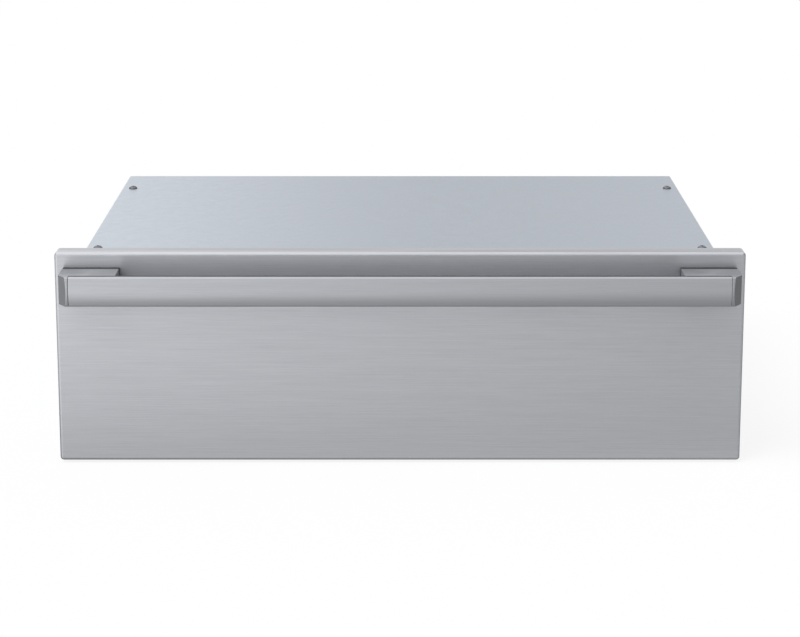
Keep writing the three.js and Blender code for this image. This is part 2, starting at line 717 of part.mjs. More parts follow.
// Inner panel that closes the skin: vent slots, and two hooked lips that the vent's slider runs in.
function frontInnerPanel() {
  const half = SKIN_HALF - FIT;
  const bottom = FRONT_BOTTOM + SHEET + FIT;
  const top = FRONT_TOP - SHEET - FIT;
  const face = INNER_PANEL_BACK;
  const tray = cut(
    block([-half, half], [12, face], [bottom, top]),
    block([-half + SHEET, half - SHEET], [11, face - SHEET], [bottom + SHEET, top - SHEET]),
  );
  const lips = [-1, 1].map((way) => {
    const edge = (from, to) => [VENT_Z + way * from, VENT_Z + way * to].sort((a, b) => a - b);
    return join(
      block([-106, 106], [face - 0.5, face + 3], edge(6.8, 8.3)),
      block([-106, 106], [face + 1.8, face + 3], edge(5.4, 7.3)),
    );
  });
  return cut(join(tray, ...lips), ...ventSlots(0, [face - 2.5, face + 0.5]));
}

// Slider that opens and shuts the vent, with a finger tab.
function ventSlider() {
  const face = INNER_PANEL_BACK + FIT;
  const along = [-88 + SLIDER_REST, 88 + SLIDER_REST];
  const plate = block(along, [face, face + 1.2], [VENT_Z - 6.5, VENT_Z + 6.5]);
  const tab = block([-3, 3], [face + 0.6, face + 6], [VENT_Z - 3.5, VENT_Z + 3.5]);
  return join(cut(plate, ...ventSlots(SLIDER_REST, [face - 1, face + 2])), tab);
}

// Wool between the skin and the inner panel, left out where the vent's duct goes down.
function frontInsulation() {
  return cut(
    block([-375, 375], [SHEET + FIT, INNER_PANEL_BACK - SHEET - FIT], [FRONT_BOTTOM + 4, FRONT_TOP - 4]),
    block([-DUCT_HALF, DUCT_HALF], [0, FRONT_DEPTH], [0, VENT_Z + 7]),
  );
}

// Ring seal between the inner panel and the face frame.
function drawerGasket() {
  const rectangle = ({ half, span, corner }) => roundedRectangle([-half, half], span, corner);
  const ring = rectangle(SEAL);
  ring.holes.push(rectangle(SEAL_OPENING));
  return prism(ring, 'Y', [FRONT_DEPTH, FRAME_FRONT - FIT], 4);
}

// Rubber stop that the drawer shuts against.
function bumper(side) {
  return rod('Y', [FRONT_DEPTH, FRAME_FRONT - FIT], [side * STOP.x, STOP.z], STOP.radius, 10);
}

// ---------------------------------------------------------------- handle

// Outline of the handle seen end on, from its crowned front face back to `rear`.
function handleOutline(front, rear, bottom, top, edge) {
  const shape = new THREE.Shape();
  const middle = (bottom + top) / 2;
  const shoulder = front + BAR_CROWN;
  shape.moveTo(rear, bottom);
  shape.lineTo(shoulder + edge, bottom);
  shape.quadraticCurveTo(shoulder, bottom, shoulder, bottom + edge);
  shape.quadraticCurveTo(front - BAR_CROWN, middle, shoulder, top - edge);
  shape.quadraticCurveTo(shoulder, top, shoulder + edge, top);
  shape.lineTo(rear, top);
  return shape;
}

// Hollow bar.
function handleBar() {
  const section = handleOutline(BAR_FRONT, BAR_BACK, HANDLE_BOTTOM, HANDLE_TOP, 2);
  section.holes.push(roundedRectangle(
    [BAR_FRONT + BAR_CROWN + BAR_WALL, BAR_BACK - BAR_WALL],
    [HANDLE_BOTTOM + BAR_WALL, HANDLE_TOP - BAR_WALL],
    1,
  ));
  return prism(section, 'X', [-BAR_HALF, BAR_HALF], 5);
}

// End block: reaches from the front's face to the bar's back, turns round the bar's end with a
// slanted outer corner, and holds the bar by a tenon.
function handleEnd(side) {
  const mouth = BAR_HALF + FIT;
  const shoulder = BAR_BACK + FIT;
  const seat = -FIT;
  const plan = outline([
    [side * BLOCK_INNER, seat], [side * BLOCK_INNER, shoulder], [side * mouth, shoulder],
    [side * mouth, BAR_FRONT - 1], [side * BLOCK_NOSE, BAR_FRONT - 1], [side * BLOCK_NOSE, BAR_FRONT],
    [side * BLOCK_OUTER, BLOCK_CHAMFER_Y], [side * BLOCK_OUTER, seat],
  ]);
  const profile = handleOutline(BAR_FRONT, seat, HANDLE_BOTTOM, HANDLE_TOP, 2);
  const body = common(
    prism(plan, 'Z', [HANDLE_BOTTOM - 1, HANDLE_TOP + 1]),
    prism(profile, 'X', across(side, BLOCK_INNER - 1, BLOCK_OUTER + 1), 5),
  );
  const clear = BAR_WALL + FIT;
  const tenon = block(
    across(side, BAR_HALF - 16, mouth + 1),
    [BAR_FRONT + BAR_CROWN + clear, BAR_BACK - clear],
    [HANDLE_BOTTOM + clear + 0.4, HANDLE_TOP - clear - 0.4],
  );
  const holes = HANDLE_SCREW_HEIGHTS.map((z) => rod('Y', [-18, 1], [side * HANDLE_SCREW_X, z], 2.1, 8));
  return cut(join(body, tenon), ...holes);
}

// ---------------------------------------------------------------- drawer body

// Drawn pan with a flat rim; the rim's front edge meets the inner panel.
function drawerPan() {
  const shell = (grow) => roundedRectangle(
    [-PAN_HALF - grow, PAN_HALF + grow],
    [PAN_FRONT - grow, PAN_BACK + grow],
    PAN_CORNER + grow,
  );
  const rim = roundedRectangle([-RIM_HALF, RIM_HALF], [FRONT_DEPTH + 0.2, RIM_BACK], 8);
  return cut(
    join(
      prism(shell(0), 'Z', [PAN_BOTTOM, PAN_TOP - 0.5]),
      prism(rim, 'Z', [PAN_TOP - LINER_SHEET, PAN_TOP]),
    ),
    prism(shell(-LINER_SHEET), 'Z', [PAN_BOTTOM + LINER_SHEET, PAN_TOP + 1]),
  );
}

// Side bracket: carries the pan's rim on its ledge, is fixed to the inner panel by its front foot and
// to the slide by its web.
function panBracket(side) {
  const top = PAN_TOP - LINER_SHEET - FIT;
  const outer = CHAMBER_HALF - INNER_RAIL.web - FIT;
  const web = [outer - SHEET, outer];
  const ledgeInner = PAN_HALF + 1;
  const front = FRONT_DEPTH + 0.2;
  return join(
    block(across(side, ...web), [front, 520], [76, top]),
    block(across(side, ledgeInner, outer), [front, 520], [top - SHEET, top]),
    block(across(side, ledgeInner, outer), [front, front + SHEET], [76, top]),
  );
}

// Wire rack in the pan: a ring, cross wires and four feet.
function rack() {
  const { z, halfX, halfY, footY, pitch } = RACK;
  const middle = (PAN_FRONT + PAN_BACK) / 2;
  const wires = [];
  for (const way of [-1, 1]) {
    wires.push(rod('X', [-halfX - 4, halfX + 4], [middle + way * halfY, z], 3, 6));
    wires.push(rod('Y', [middle - halfY - 5, middle + halfY + 5], [way * halfX, z - 0.7], 3, 6));
    for (const foot of [-footY, footY]) {
      wires.push(rod('Z', [PAN_BOTTOM + LINER_SHEET + FIT, z], [way * halfX, middle + foot], 2.3, 6));
    }
  }
  for (let i = -6; i <= 6; i += 1) {
    wires.push(rod('Y', [middle - halfY - 1.3, middle + halfY + 1.3], [i * pitch, z + 0.4], 2, 6));
  }
  return join(...wires);
}

// ---------------------------------------------------------------- assembly

place(cabinet, 'base_pan', basePan(), FINISHES.zincSheet);
place(cabinet, 'back_panel', backPanel(), FINISHES.zincSheet);
place(cabinet, 'top_cover', topCover(), FINISHES.zincSheet);
place(cabinet, 'front_frame', frontFrame(), FINISHES.linerSteel);
place(cabinet, 'chamber_liner', chamberLiner(), FINISHES.linerSteel);
place(cabinet, 'heating_element', heatingElement(), FINISHES.elementSheath);
for (const [word, side] of Object.entries(SIDES)) {
  const { x, depth } = ELEMENT_CLIPS.side;
  place(cabinet, `element_clip_${word}`, elementClip(side * x, depth, false), FINISHES.linerSteel);
}
const { x: clipX, depth: clipDepth } = ELEMENT_CLIPS.middle;
place(cabinet, 'element_clip_middle', elementClip(clipX, clipDepth, true), FINISHES.linerSteel);
place(cabinet, 'temperature_sensor', temperatureSensor(), FINISHES.screwSteel);
place(cabinet, 'high_limit_cutout', highLimitCutout(), FINISHES.blackPlastic);
place(cabinet, 'power_board', powerBoard(), FINISHES.circuitBoard);
place(cabinet, 'terminal_block', terminalBlock(), FINISHES.ceramic);
place(cabinet, 'cord_gland', cordGland(), FINISHES.blackPlastic);
place(cabinet, 'wiring_harness', wiringHarness(), FINISHES.harnessSleeve);

const WOOL = {
  insulation_base: block([-352, 352], [60, 560], [FLOOR, CHAMBER_BOTTOM - LINER_SHEET - FIT]),
  insulation_top: block([-314, 314], [70, 560], [CHAMBER_TOP + LINER_SHEET + FIT, 214]),
  insulation_back: block([-325, 325], [CHAMBER_BACK + LINER_SHEET + FIT, 560], [42, 150]),
  insulation_left: block([-FLANGE_INNER + FIT, -LINER_HALF - FIT], [60, 560], [CHAMBER_BOTTOM, 209]),
  insulation_right: block([LINER_HALF + FIT, FLANGE_INNER - FIT], [60, 560], [CHAMBER_BOTTOM, 209]),
};
for (const [name, geometry] of Object.entries(WOOL)) {
  place(cabinet, name, geometry, FINISHES.fibre);
}

for (const [word, side] of Object.entries(SIDES)) {
  place(cabinet, `${word}_side_panel`, sidePanel(side), FINISHES.zincSheet);
  for (const [end, depth] of Object.entries(LID_SCREW_DEPTHS)) {
    place(cabinet, `lid_screw_${end}_${word}`, lidScrew(side, depth), FINISHES.screwSteel);
  }
  place(slides, `${word}_outer_rail`, channel(side, OUTER_RAIL, RAIL_SPAN), FINISHES.slideSteel);
  place(slides, `${word}_outer_cage`, channel(side, OUTER_CAGE, CAGE_SPAN), FINISHES.cageSteel);
  place(slides, `${word}_middle_rail`, channel(side, MIDDLE_RAIL, RAIL_SPAN), FINISHES.slideSteel);
  place(slides, `${word}_inner_cage`, channel(side, INNER_CAGE, CAGE_SPAN), FINISHES.cageSteel);
  place(slides, `${word}_inner_rail`, innerRail(side), FINISHES.slideSteel);
  place(slides, `${word}_release_lever`, releaseLever(side), FINISHES.leverPlastic);
  place(drawer, `${word}_pan_bracket`, panBracket(side), FINISHES.slideSteel);
  place(drawer, `${word}_bumper`, bumper(side), FINISHES.gasketRubber);
  place(drawer, `${word}_handle_end`, handleEnd(side), FINISHES.stainless);
}

place(controls, 'control_fascia', controlFascia(), FINISHES.blackPlastic);
place(controls, 'display_lens', displayLens(), FINISHES.smokedLens);
place(controls, 'ui_board', uiBoard(), FINISHES.circuitBoard);
for (const [word, x] of Object.entries(BUTTONS)) {
  place(controls, `${word}_button`, pushButton(x), FINISHES.buttonPlastic);
}

place(drawer, 'front_skin', frontSkin(), FINISHES.stainless);
place(drawer, 'front_inner_panel', frontInnerPanel(), FINISHES.linerSteel);
place(drawer, 'front_insulation', frontInsulation(), FINISHES.fibre);
place(drawer, 'drawer_gasket', drawerGasket(), FINISHES.gasketRubber);
place(drawer, 'vent_slider', ventSlider(), FINISHES.blackPlastic);
place(drawer, 'handle_bar', handleBar(), FINISHES.stainless);
place(drawer, 'drawer_pan', drawerPan(), FINISHES.panSteel);
place(drawer, 'rack', rack(), FINISHES.screwSteel);

const appliance = new THREE.Group();
appliance.add(cabinet, slides, controls, drawer);
appliance.position.y = -CENTRE_DEPTH;

export default appliance;
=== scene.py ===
"""Looks of a built-in warming drawer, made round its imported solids.

Sizes in the classes are millimetres: x from the middle, positive to the right of a person facing
the drawer, y from the front's outer face back into the cut-out, z up from the surface that the
cabinet stands on. `Form.piece` turns them into metres in the row's frame.
"""

import json
import logging
import math
from dataclasses import dataclass
from enum import Enum
from itertools import product
from typing import Callable, Iterable, Mapping, Sequence

import bmesh
import bpy
from mathutils import Matrix, Vector, noise

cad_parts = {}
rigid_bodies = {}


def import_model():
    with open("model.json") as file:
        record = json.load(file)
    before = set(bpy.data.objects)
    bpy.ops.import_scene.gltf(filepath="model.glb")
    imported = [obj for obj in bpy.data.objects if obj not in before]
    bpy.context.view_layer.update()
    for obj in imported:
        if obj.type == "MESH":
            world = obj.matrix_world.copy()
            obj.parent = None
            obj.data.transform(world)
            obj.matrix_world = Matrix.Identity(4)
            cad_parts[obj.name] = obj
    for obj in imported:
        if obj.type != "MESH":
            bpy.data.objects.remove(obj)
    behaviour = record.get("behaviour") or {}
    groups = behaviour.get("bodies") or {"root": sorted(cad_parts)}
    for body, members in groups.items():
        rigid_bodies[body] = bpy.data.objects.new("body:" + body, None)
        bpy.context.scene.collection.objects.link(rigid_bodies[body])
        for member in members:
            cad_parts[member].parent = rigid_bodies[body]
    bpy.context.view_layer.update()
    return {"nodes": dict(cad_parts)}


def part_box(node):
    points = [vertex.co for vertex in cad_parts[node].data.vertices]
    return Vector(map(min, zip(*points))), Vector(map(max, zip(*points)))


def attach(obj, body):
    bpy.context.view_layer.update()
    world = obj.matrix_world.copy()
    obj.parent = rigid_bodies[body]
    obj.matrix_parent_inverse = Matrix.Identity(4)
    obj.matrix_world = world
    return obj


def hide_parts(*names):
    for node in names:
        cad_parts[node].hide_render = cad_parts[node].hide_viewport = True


LOG = logging.getLogger("warming_drawer")
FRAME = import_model()

MM = 0.001
FRONT_FACE_Y = -274.75
SHARP = math.radians(32)
FLAT = math.radians(0.5)
NEAR = 0.01
WELD = 0.001

# Places of the screws that hold the handle's blocks from inside the skin.
HANDLE_SCREW_X = 336.0
HANDLE_SCREW_HEIGHTS = (200.3, 214.8)
# Depths of the lid's screws.
LID_SCREWS = {"front": 123.0, "rear": 512.0}

Span = tuple[float, float]
Point = tuple[float, float, float]
Edges = Iterable[bmesh.types.BMEdge]
Tree = bpy.types.NodeTree
Socket = bpy.types.NodeSocket


class Axis(Enum):
    """The axes that a shape is drawn across or turned about."""

    X = 0
    Y = 1
    Z = 2

    def place(self, across: Sequence[float], along: float) -> Vector:
        """The point at `across` on the other two axes and at `along` on this one."""
        return Vector((*across[: self.value], along, *across[self.value :]))


class Side(Enum):
    """The two sides of the drawer, with the sign of x there."""

    LEFT = -1
    RIGHT = 1

    @property
    def word(self) -> str:
        """The word that starts the names of this side's parts."""
        return self.name.lower()


# ---- shapes


def colour(code: str) -> tuple[float, float, float, float]:
    """Turns an sRGB hex colour into the linear one that shaders work in.

    Args:
        code: The colour as #rrggbb.

    Returns:
        Linear red, green and blue, and an alpha of 1.
    """
    parts = [int(code[i : i + 2], 16) / 255 for i in (1, 3, 5)]
    linear = [c / 12.92 if c <= 0.04045 else ((c + 0.055) / 1.055) ** 2.4 for c in parts]
    return (linear[0], linear[1], linear[2], 1.0)


def about(middle: float, half: float) -> Span:
    """Limits at the same distance either side of a middle."""
    return (middle - half, middle + half)


def arc(centre: Span, radius: float, start: float, end: float, steps: int) -> list[Span]:
    """Points along an arc between two angles in degrees."""
    angles = [math.radians(start + (end - start) * i / steps) for i in range(steps + 1)]
    return [(centre[0] + radius * math.cos(a), centre[1] + radius * math.sin(a)) for a in angles]


def disc(centre: Span, radius: float, steps: int = 24) -> list[Span]:
    """A circle's points."""
    return arc(centre, radius, 0, 360, steps)[:-1]


def rounded_rectangle(x: Span, y: Span, radius: float, steps: int = 6) -> list[Span]:
    """Outlines a rectangle with round corners, anticlockwise.

    Args:
        x: Limits across.
        y: Limits upwards.
        radius: Corner radius.
        steps: Segments in each corner.

    Returns:
        The outline's points.
    """
    left, right, low, high = x[0] + radius, x[1] - radius, y[0] + radius, y[1] - radius
    points = []
    for i, centre in enumerate(((right, high), (left, high), (left, low), (right, low))):
        points += arc(centre, radius, 90 * i, 90 * (i + 1), steps)
    return points


def bent_route(corners: Sequence[Point], radius: float, steps: int) -> list[Vector]:
    """Rounds off the corners of a route with arcs.

    Args:
        corners: The route's corners.
        radius: Radius of the bends.
        steps: Segments in each bend.

    Returns:
        The points of the rounded route.
    """
    spots = [Vector(c) for c in corners]
    route = [spots[0]]
    for before, corner, after in zip(spots, spots[1:], spots[2:]):
        back, ahead = (before - corner).normalized(), (after - corner).normalized()
        half = back.angle(ahead) / 2
        reach = radius / math.tan(half)
        centre = corner + (back + ahead).normalized() * radius / math.sin(half)
        start = corner + back * reach - centre
        turn = start.rotation_difference(corner + ahead * reach - centre)
        for i in range(steps + 1):
            route.append(centre + turn.slerp(turn.__class__(), 1 - i / steps) @ start)
    return [*route, spots[-1]]


def linked(name: str, data: bpy.types.ID) -> bpy.types.Object:
    """Puts an object with the given data into the scene.

    Args:
        name: The object's name.
        data: Its mesh, curve, light or camera.

    Returns:
        The object.
    """
    made = bpy.data.objects.new(name, data)
    bpy.context.collection.objects.link(made)
    return made


class Form:
    """A piece's mesh while it is being made, in millimetres."""

    def __init__(self) -> None:
        """Starts empty."""
        self.bm = bmesh.new()

    def block(self, x: Span, y: Span, z: Span, round_by: float = 0.0, segments: int = 2) -> "Form":
        """Adds a block, its edges rounded if asked.

        Args:
            x: Limits along x.
            y: Limits along y.
            z: Limits along z.
            round_by: Radius of its edges.
            segments: Segments across each edge.

        Returns:
            This form.
        """
        verts = bmesh.ops.create_cube(self.bm, size=1.0)["verts"]
        limits = (x, y, z)
        bmesh.ops.scale(self.bm, vec=[high - low for low, high in limits], verts=verts)
        middle = [(low + high) / 2 for low, high in limits]
        bmesh.ops.translate(self.bm, vec=middle, verts=verts)
        if round_by:
            self.soften({e for v in verts for e in v.link_edges}, round_by, segments)
        return self

    def prism(self, outline: Sequence[Span], axis: Axis, span: Span) -> "Form":
        """Adds an outline extruded along an axis.

        Args:
            outline: Points across the axis, in the order of the other two axes.
            axis: The way it is extruded.
            span: Limits along that axis.

        Returns:
            This form.
        """
        face = self.bm.faces.new([self.bm.verts.new(axis.place(p, span[0])) for p in outline])
        grown = bmesh.ops.extrude_face_region(self.bm, geom=[face])["geom"]
        moved = [g for g in grown if isinstance(g, bmesh.types.BMVert)]
        bmesh.ops.translate(self.bm, vec=axis.place((0, 0), span[1] - span[0]), verts=moved)
        bmesh.ops.recalc_face_normals(self.bm, faces=self.bm.faces[:])
        return self

    def turned(
        self, profile: Sequence[Span], axis: Axis, steps: int, *centres: Span, base: float = 0.0
    ) -> "Form":
        """Adds a profile turned about one or more lines along an axis.

        Args:
            profile: Pairs of a radius and a place along the axis.
            axis: The axis that the lines are along.
            steps: Segments round each.
            *centres: The lines' other two coordinates.
            base: Added to every place along the axis.

        Returns:
            This form.
        """
        for u, v in centres:
            spots = [axis.place((u + radius, v), base + along) for radius, along in profile]
            verts = [self.bm.verts.new(spot) for spot in spots]
            bmesh.ops.spin(
                self.bm,
                geom=verts + [self.bm.edges.new(pair) for pair in zip(verts, verts[1:])],
                cent=axis.place((u, v), 0.0),
                axis=axis.place((0, 0), 1.0),
                angle=2 * math.pi,
                steps=steps,
                use_merge=True,
            )
            self.welded()
        return self

    def wire(
        self, route: Sequence[Vector], radius: float, closed: bool = False, sides: int = 4
    ) -> "Form":
        """Adds a round wire along a route.

        Args:
            route: The points that it follows.
            radius: The wire's radius.
            closed: Whether its ends meet.
            sides: A quarter of the segments round it.

        Returns:
            This form.
        """
        curve = bpy.data.curves.new("wire", "CURVE")
        curve.dimensions = "3D"
        curve.bevel_depth = radius
        curve.bevel_resolution = sides - 1
        curve.use_fill_caps = not closed
        spline = curve.splines.new("POLY")
        spline.points.add(len(route) - 1)
        for point, place in zip(spline.points, route):
            point.co = (*place, 1)
        spline.use_cyclic_u = closed
        self.absorb(linked("wire", curve))
        return self.welded()

    def solid(self, node: str) -> "Form":
        """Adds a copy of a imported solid, its triangles merged into whole faces.

        Args:
            node: The solid's name.

        Returns:
            This form.
        """
        self.bm.from_mesh(FRAME["nodes"][node].data)
        bmesh.ops.remove_doubles(self.bm, verts=self.bm.verts[:], dist=WELD * MM)
        to_mm = Matrix.Translation((0, -FRONT_FACE_Y, 0)) @ Matrix.Scale(1 / MM, 4)
        bmesh.ops.transform(self.bm, matrix=to_mm, verts=self.bm.verts[:])
        return self.flattened()

    def joined(self, other: "Form") -> "Form":
        """Adds another form's mesh."""
        self.absorb(linked("joined", other.mesh("joined")))
        return self

    def absorb(self, holder: bpy.types.Object) -> None:
        """Adds the mesh that Blender makes of an object, and removes the object.

        Args:
            holder: The object.
        """
        view = bpy.context.evaluated_depsgraph_get()
        mesh = bpy.data.meshes.new_from_object(holder.evaluated_get(view))
        self.bm.from_mesh(mesh)
        bpy.data.batch_remove((holder, holder.data, mesh))

    def mesh(self, name: str) -> bpy.types.Mesh:
        """The form as a mesh.

        Args:
            name: The mesh's name.

        Returns:
            The mesh.
        """
        made = bpy.data.meshes.new(name)
        self.bm.to_mesh(made)
        return made

    def welded(self) -> "Form":
        """Merges the points that touch and turns the faces outwards.

        Returns:
            This form.
        """
        bmesh.ops.remove_doubles(self.bm, verts=self.bm.verts[:], dist=WELD)
        bmesh.ops.recalc_face_normals(self.bm, faces=self.bm.faces[:])
        return self

    def flattened(self) -> "Form":
        """Merges the faces that lie in one plane.

        Returns:
            This form.
        """
        flat = {"verts": self.bm.verts[:], "edges": self.bm.edges[:]}
        bmesh.ops.dissolve_limit(self.bm, angle_limit=FLAT, **flat)
        return self

    def soften(self, edges: Edges, width: float, segments: int) -> "Form":
        """Rounds edges off.

        Args:
            edges: The edges.
            width: Radius of the rounding.
            segments: Segments across it.

        Returns:
            This form.
        """
        bmesh.ops.bevel(
            self.bm,
            geom=list(edges),
            offset=width,
            offset_type="OFFSET",
            segments=segments,
            profile=0.5,
            affect="EDGES",
            material=-1,
            clamp_overlap=True,
        )
        return self

    def softened(self, width: float, segments: int = 2, least: float = 30.0) -> "Form":
        """Rounds off every edge whose faces meet at more than `least` degrees.

        Args:
            width: Radius of the rounding.
            segments: Segments across it.
            least: The least angle.

        Returns:
            This form.
        """
        limit = math.radians(least)
        pairs = [e for e in self.bm.edges if len(e.link_faces) == 2]
        return self.soften([e for e in pairs if e.calc_face_angle() > limit], width, segments)

    def edges_at(self, test: Callable[[Vector], bool]) -> list[bmesh.types.BMEdge]:
        """The edges both of whose ends pass a test."""
        return [e for e in self.bm.edges if all(test(v.co) for v in e.verts)]

    def edges_along(self, axis: Axis) -> list[bmesh.types.BMEdge]:
        """The edges that go on for more than 1 mm along an axis."""
        ends = [(e, [v.co[axis.value] for v in e.verts]) for e in self.bm.edges]
        return [e for e, (one, other) in ends if abs(one - other) > 1]

    def open_at(self, test: Callable[[Vector], bool]) -> "Form":
        """Takes away the faces all of whose corners pass a test.

        Args:
            test: Tells whether a corner passes.

        Returns:
            This form.
        """
        faces = [f for f in self.bm.faces if all(test(v.co) for v in f.verts)]
        bmesh.ops.delete(self.bm, geom=faces, context="FACES")
        return self

    def shaped(self, kind: str, **settings: object) -> "Form":
        """Applies one modifier to the mesh.

        Args:
            kind: The modifier's type.
            **settings: Its properties.

        Returns:
            This form.
        """
        holder = linked("work", self.mesh("work"))
        modifier = holder.modifiers.new(kind, kind)
        for name, value in settings.items():
            setattr(modifier, name, value)
        self.bm.clear()
        self.absorb(holder)
        return self

    def sheeted(self, thickness: float) -> "Form":
        """Gives an open surface the thickness of a sheet, inwards."""
        return self.shaped("SOLIDIFY", thickness=thickness, offset=-1.0, use_even_offset=True)

    def carved(self, tool: "Form", operation: str = "DIFFERENCE") -> "Form":
        """Cuts another form out of this one, or keeps what they share.

        Args:
            tool: The other form.
            operation: DIFFERENCE or INTERSECT.

        Returns:
            This form.
        """
        cutter = linked("tool", tool.mesh("tool"))
        self.shaped("BOOLEAN", object=cutter, operation=operation, solver="EXACT")
        bpy.data.batch_remove((cutter, cutter.data))
        bmesh.ops.remove_doubles(self.bm, verts=self.bm.verts[:], dist=WELD / 2)
        return self

    def mirrored(self, side: Side) -> "Form":
        """Turns a shape drawn on the right into the one on a side.

        Args:
            side: The side.

        Returns:
            This form.
        """
        if side is Side.LEFT:
            bmesh.ops.scale(self.bm, vec=(-1, 1, 1), verts=self.bm.verts[:])
            bmesh.ops.reverse_faces(self.bm, faces=self.bm.faces[:])
        return self

    def piece(self, name: str, finish: "Finish", body: str, *replaces: str) -> None:
        """Turns the form into a piece in metres, placed by its mesh and dressed.

        Args:
            name: The piece's name.
            finish: Its finish.
            body: The body that it rides on.
            *replaces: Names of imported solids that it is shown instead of.
        """
        to_row = Matrix.Scale(MM, 4) @ Matrix.Translation((0, FRONT_FACE_Y, 0))
        bmesh.ops.transform(self.bm, matrix=to_row, verts=self.bm.verts[:])
        piece = linked(name, self.mesh(name))
        self.bm.free()
        piece.data.shade_smooth()
        piece.data.set_sharp_from_angle(angle=SHARP)
        weighted = piece.modifiers.new("face normals", "WEIGHTED_NORMAL")
        weighted.keep_sharp = True
        piece.data.materials.append(finish.material())
        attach(piece, body)
        if replaces:
            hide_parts(*replaces)
        LOG.info("%s: %s, on %s", piece.name, finish.name, body)


# ---- finishes


def add_node(
    tree: Tree, kind: str, inputs: Mapping[str | int, object] | None = None, **settings: object
) -> bpy.types.Node:
    """Adds a shader node with its settings and links.

    Args:
        tree: The node tree.
        kind: The node's type.
        inputs: Values for its inputs, by name or place. A socket is linked, the rest is set.
        **settings: Its properties.

    Returns:
        The node.
    """
    made = tree.nodes.new(kind)
    for name, value in settings.items():
        setattr(made, name, value)
    for key, value in (inputs or {}).items():
        if isinstance(value, Socket):
            tree.links.new(value, made.inputs[key])
        else:
            made.inputs[key].default_value = value
    return made


@dataclass(frozen=True)
class Finish:
    """What all finishes share: a name, the record's slot and the shader's plain numbers."""

    name: str
    slot: str
    dark: str
    light: str
    roughness: float
    spread: float = 0.06
    metallic: float = 0.0
    bump: float = 0.1

    def pattern(self, tree: Tree) -> Socket:
        """The finish's own height pattern, from 0 to 1."""
        return self.field(tree, (1.0, 1.0, 1.0))

    def field(self, tree: Tree, sizes: Point, detail: float = 2.0) -> Socket:
        """A noise field on object coordinates.

        Args:
            tree: The material's node tree.
            sizes: The size of its blots along x, y and z, in millimetres.
            detail: Octaves of detail.

        Returns:
            The socket that gives the noise.
        """
        place = add_node(tree, "ShaderNodeTexCoord").outputs["Object"]
        scale = Vector([1 / (size * MM) for size in sizes])
        spots = add_node(tree, "ShaderNodeMapping", {"Vector": place, "Scale": scale}).outputs[0]
        inputs = {"Vector": spots, "Scale": 1.0, "Detail": detail, "Roughness": 0.55}
        return add_node(tree, "ShaderNodeTexNoise", inputs).outputs["Fac"]

    def extra(self, shader: bpy.types.Node) -> None:
        """Sets what this finish alone needs on the shader."""

    def material(self) -> bpy.types.Material:
        """The finish as a material, made once.

        Returns:
            The material.
        """
        made = bpy.data.materials.get(self.name)
        if made:
            return made
        made = bpy.data.materials.new(self.name)
        made.use_nodes = True
        tree = made.node_tree
        tree.nodes.clear()
        height, low, high = self.pattern(tree), 0.3, 0.7
        tint = add_node(tree, "ShaderNodeValToRGB", {"Fac": height})
        ends = zip(tint.color_ramp.elements, (low, high), (self.dark, self.light))
        for element, place, code in ends:
            element.position, element.color = place, colour(code)
        limits = {"Value": height, "From Min": low, "From Max": high}
        limits |= {"To Min": self.roughness + self.spread, "To Max": self.roughness - self.spread}
        gloss = add_node(tree, "ShaderNodeMapRange", limits)
        depth = {"Height": height, "Strength": self.bump, "Distance": 0.0002}
        relief = add_node(tree, "ShaderNodeBump", depth)
        inputs = {
            "Base Color": tint.outputs["Color"],
            "Roughness": gloss.outputs[0],
            "Normal": relief.outputs[0],
            "Metallic": self.metallic,
        }
        shader = add_node(tree, "ShaderNodeBsdfPrincipled", inputs)
        self.extra(shader)
        add_node(tree, "ShaderNodeOutputMaterial", {"Surface": shader.outputs[0]})
        made.diffuse_color = colour(self.light)
        return made


@dataclass(frozen=True)
class RolledSteel(Finish):
    """Sheet metal with straight grain left by a belt or a roll."""

    grain: Axis = Axis.X
    length: float = 90.0
    width: float = 0.9
    streak: float = 0.0
    metallic: float = 1.0

    def pattern(self, tree: Tree) -> Socket:
        """Long broad streaks with short fine scratches over them.

        Args:
            tree: The material's node tree.

        Returns:
            The socket that gives the pattern.
        """
        length, width, place = self.length, self.width, self.grain.place
        broad = self.field(tree, place((width, width), length), 3.0)
        fine = self.field(tree, place((width / 3, width / 3), length / 4), 2.0)
        inputs = {0: 0.45, 2: broad, 3: fine}
        return add_node(tree, "ShaderNodeMix", inputs, data_type="FLOAT").outputs[0]

    def extra(self, shader: bpy.types.Node) -> None:
        """Grain along x spreads reflections up and down."""
        shader.inputs["Anisotropic"].default_value = self.streak
        shader.inputs["Anisotropic Rotation"].default_value = 0.25


@dataclass(frozen=True)
class ZincCoatedSheet(Finish):
    """Hot-dip zinc on steel: matt bluish grey with a faint spangle of crystals."""

    crystal: float = 9.0
    metallic: float = 1.0

    def pattern(self, tree: Tree) -> Socket:
        """Crystal cells softened by fine mottling.

        Args:
            tree: The material's node tree.

        Returns:
            The socket that gives the pattern.
        """
        place = add_node(tree, "ShaderNodeTexCoord").outputs["Object"]
        inputs = {"Vector": place, "Scale": 1 / (self.crystal * MM)}
        cells = add_node(tree, "ShaderNodeTexVoronoi", inputs).outputs["Color"]
        value = add_node(tree, "ShaderNodeRGBToBW", {"Color": cells}).outputs[0]
        inputs = {0: 0.7, 2: value, 3: self.field(tree, (2.5, 2.5, 2.5), 3.0)}
        return add_node(tree, "ShaderNodeMix", inputs, data_type="FLOAT").outputs[0]


@dataclass(frozen=True)
class SatinMetal(Finish):
    """Plated or blasted metal with an even fine mottle."""

    blot: float = 1.5
    metallic: float = 1.0

    def pattern(self, tree: Tree) -> Socket:
        """Fine mottle."""
        return self.field(tree, (self.blot,) * 3, 4.0)


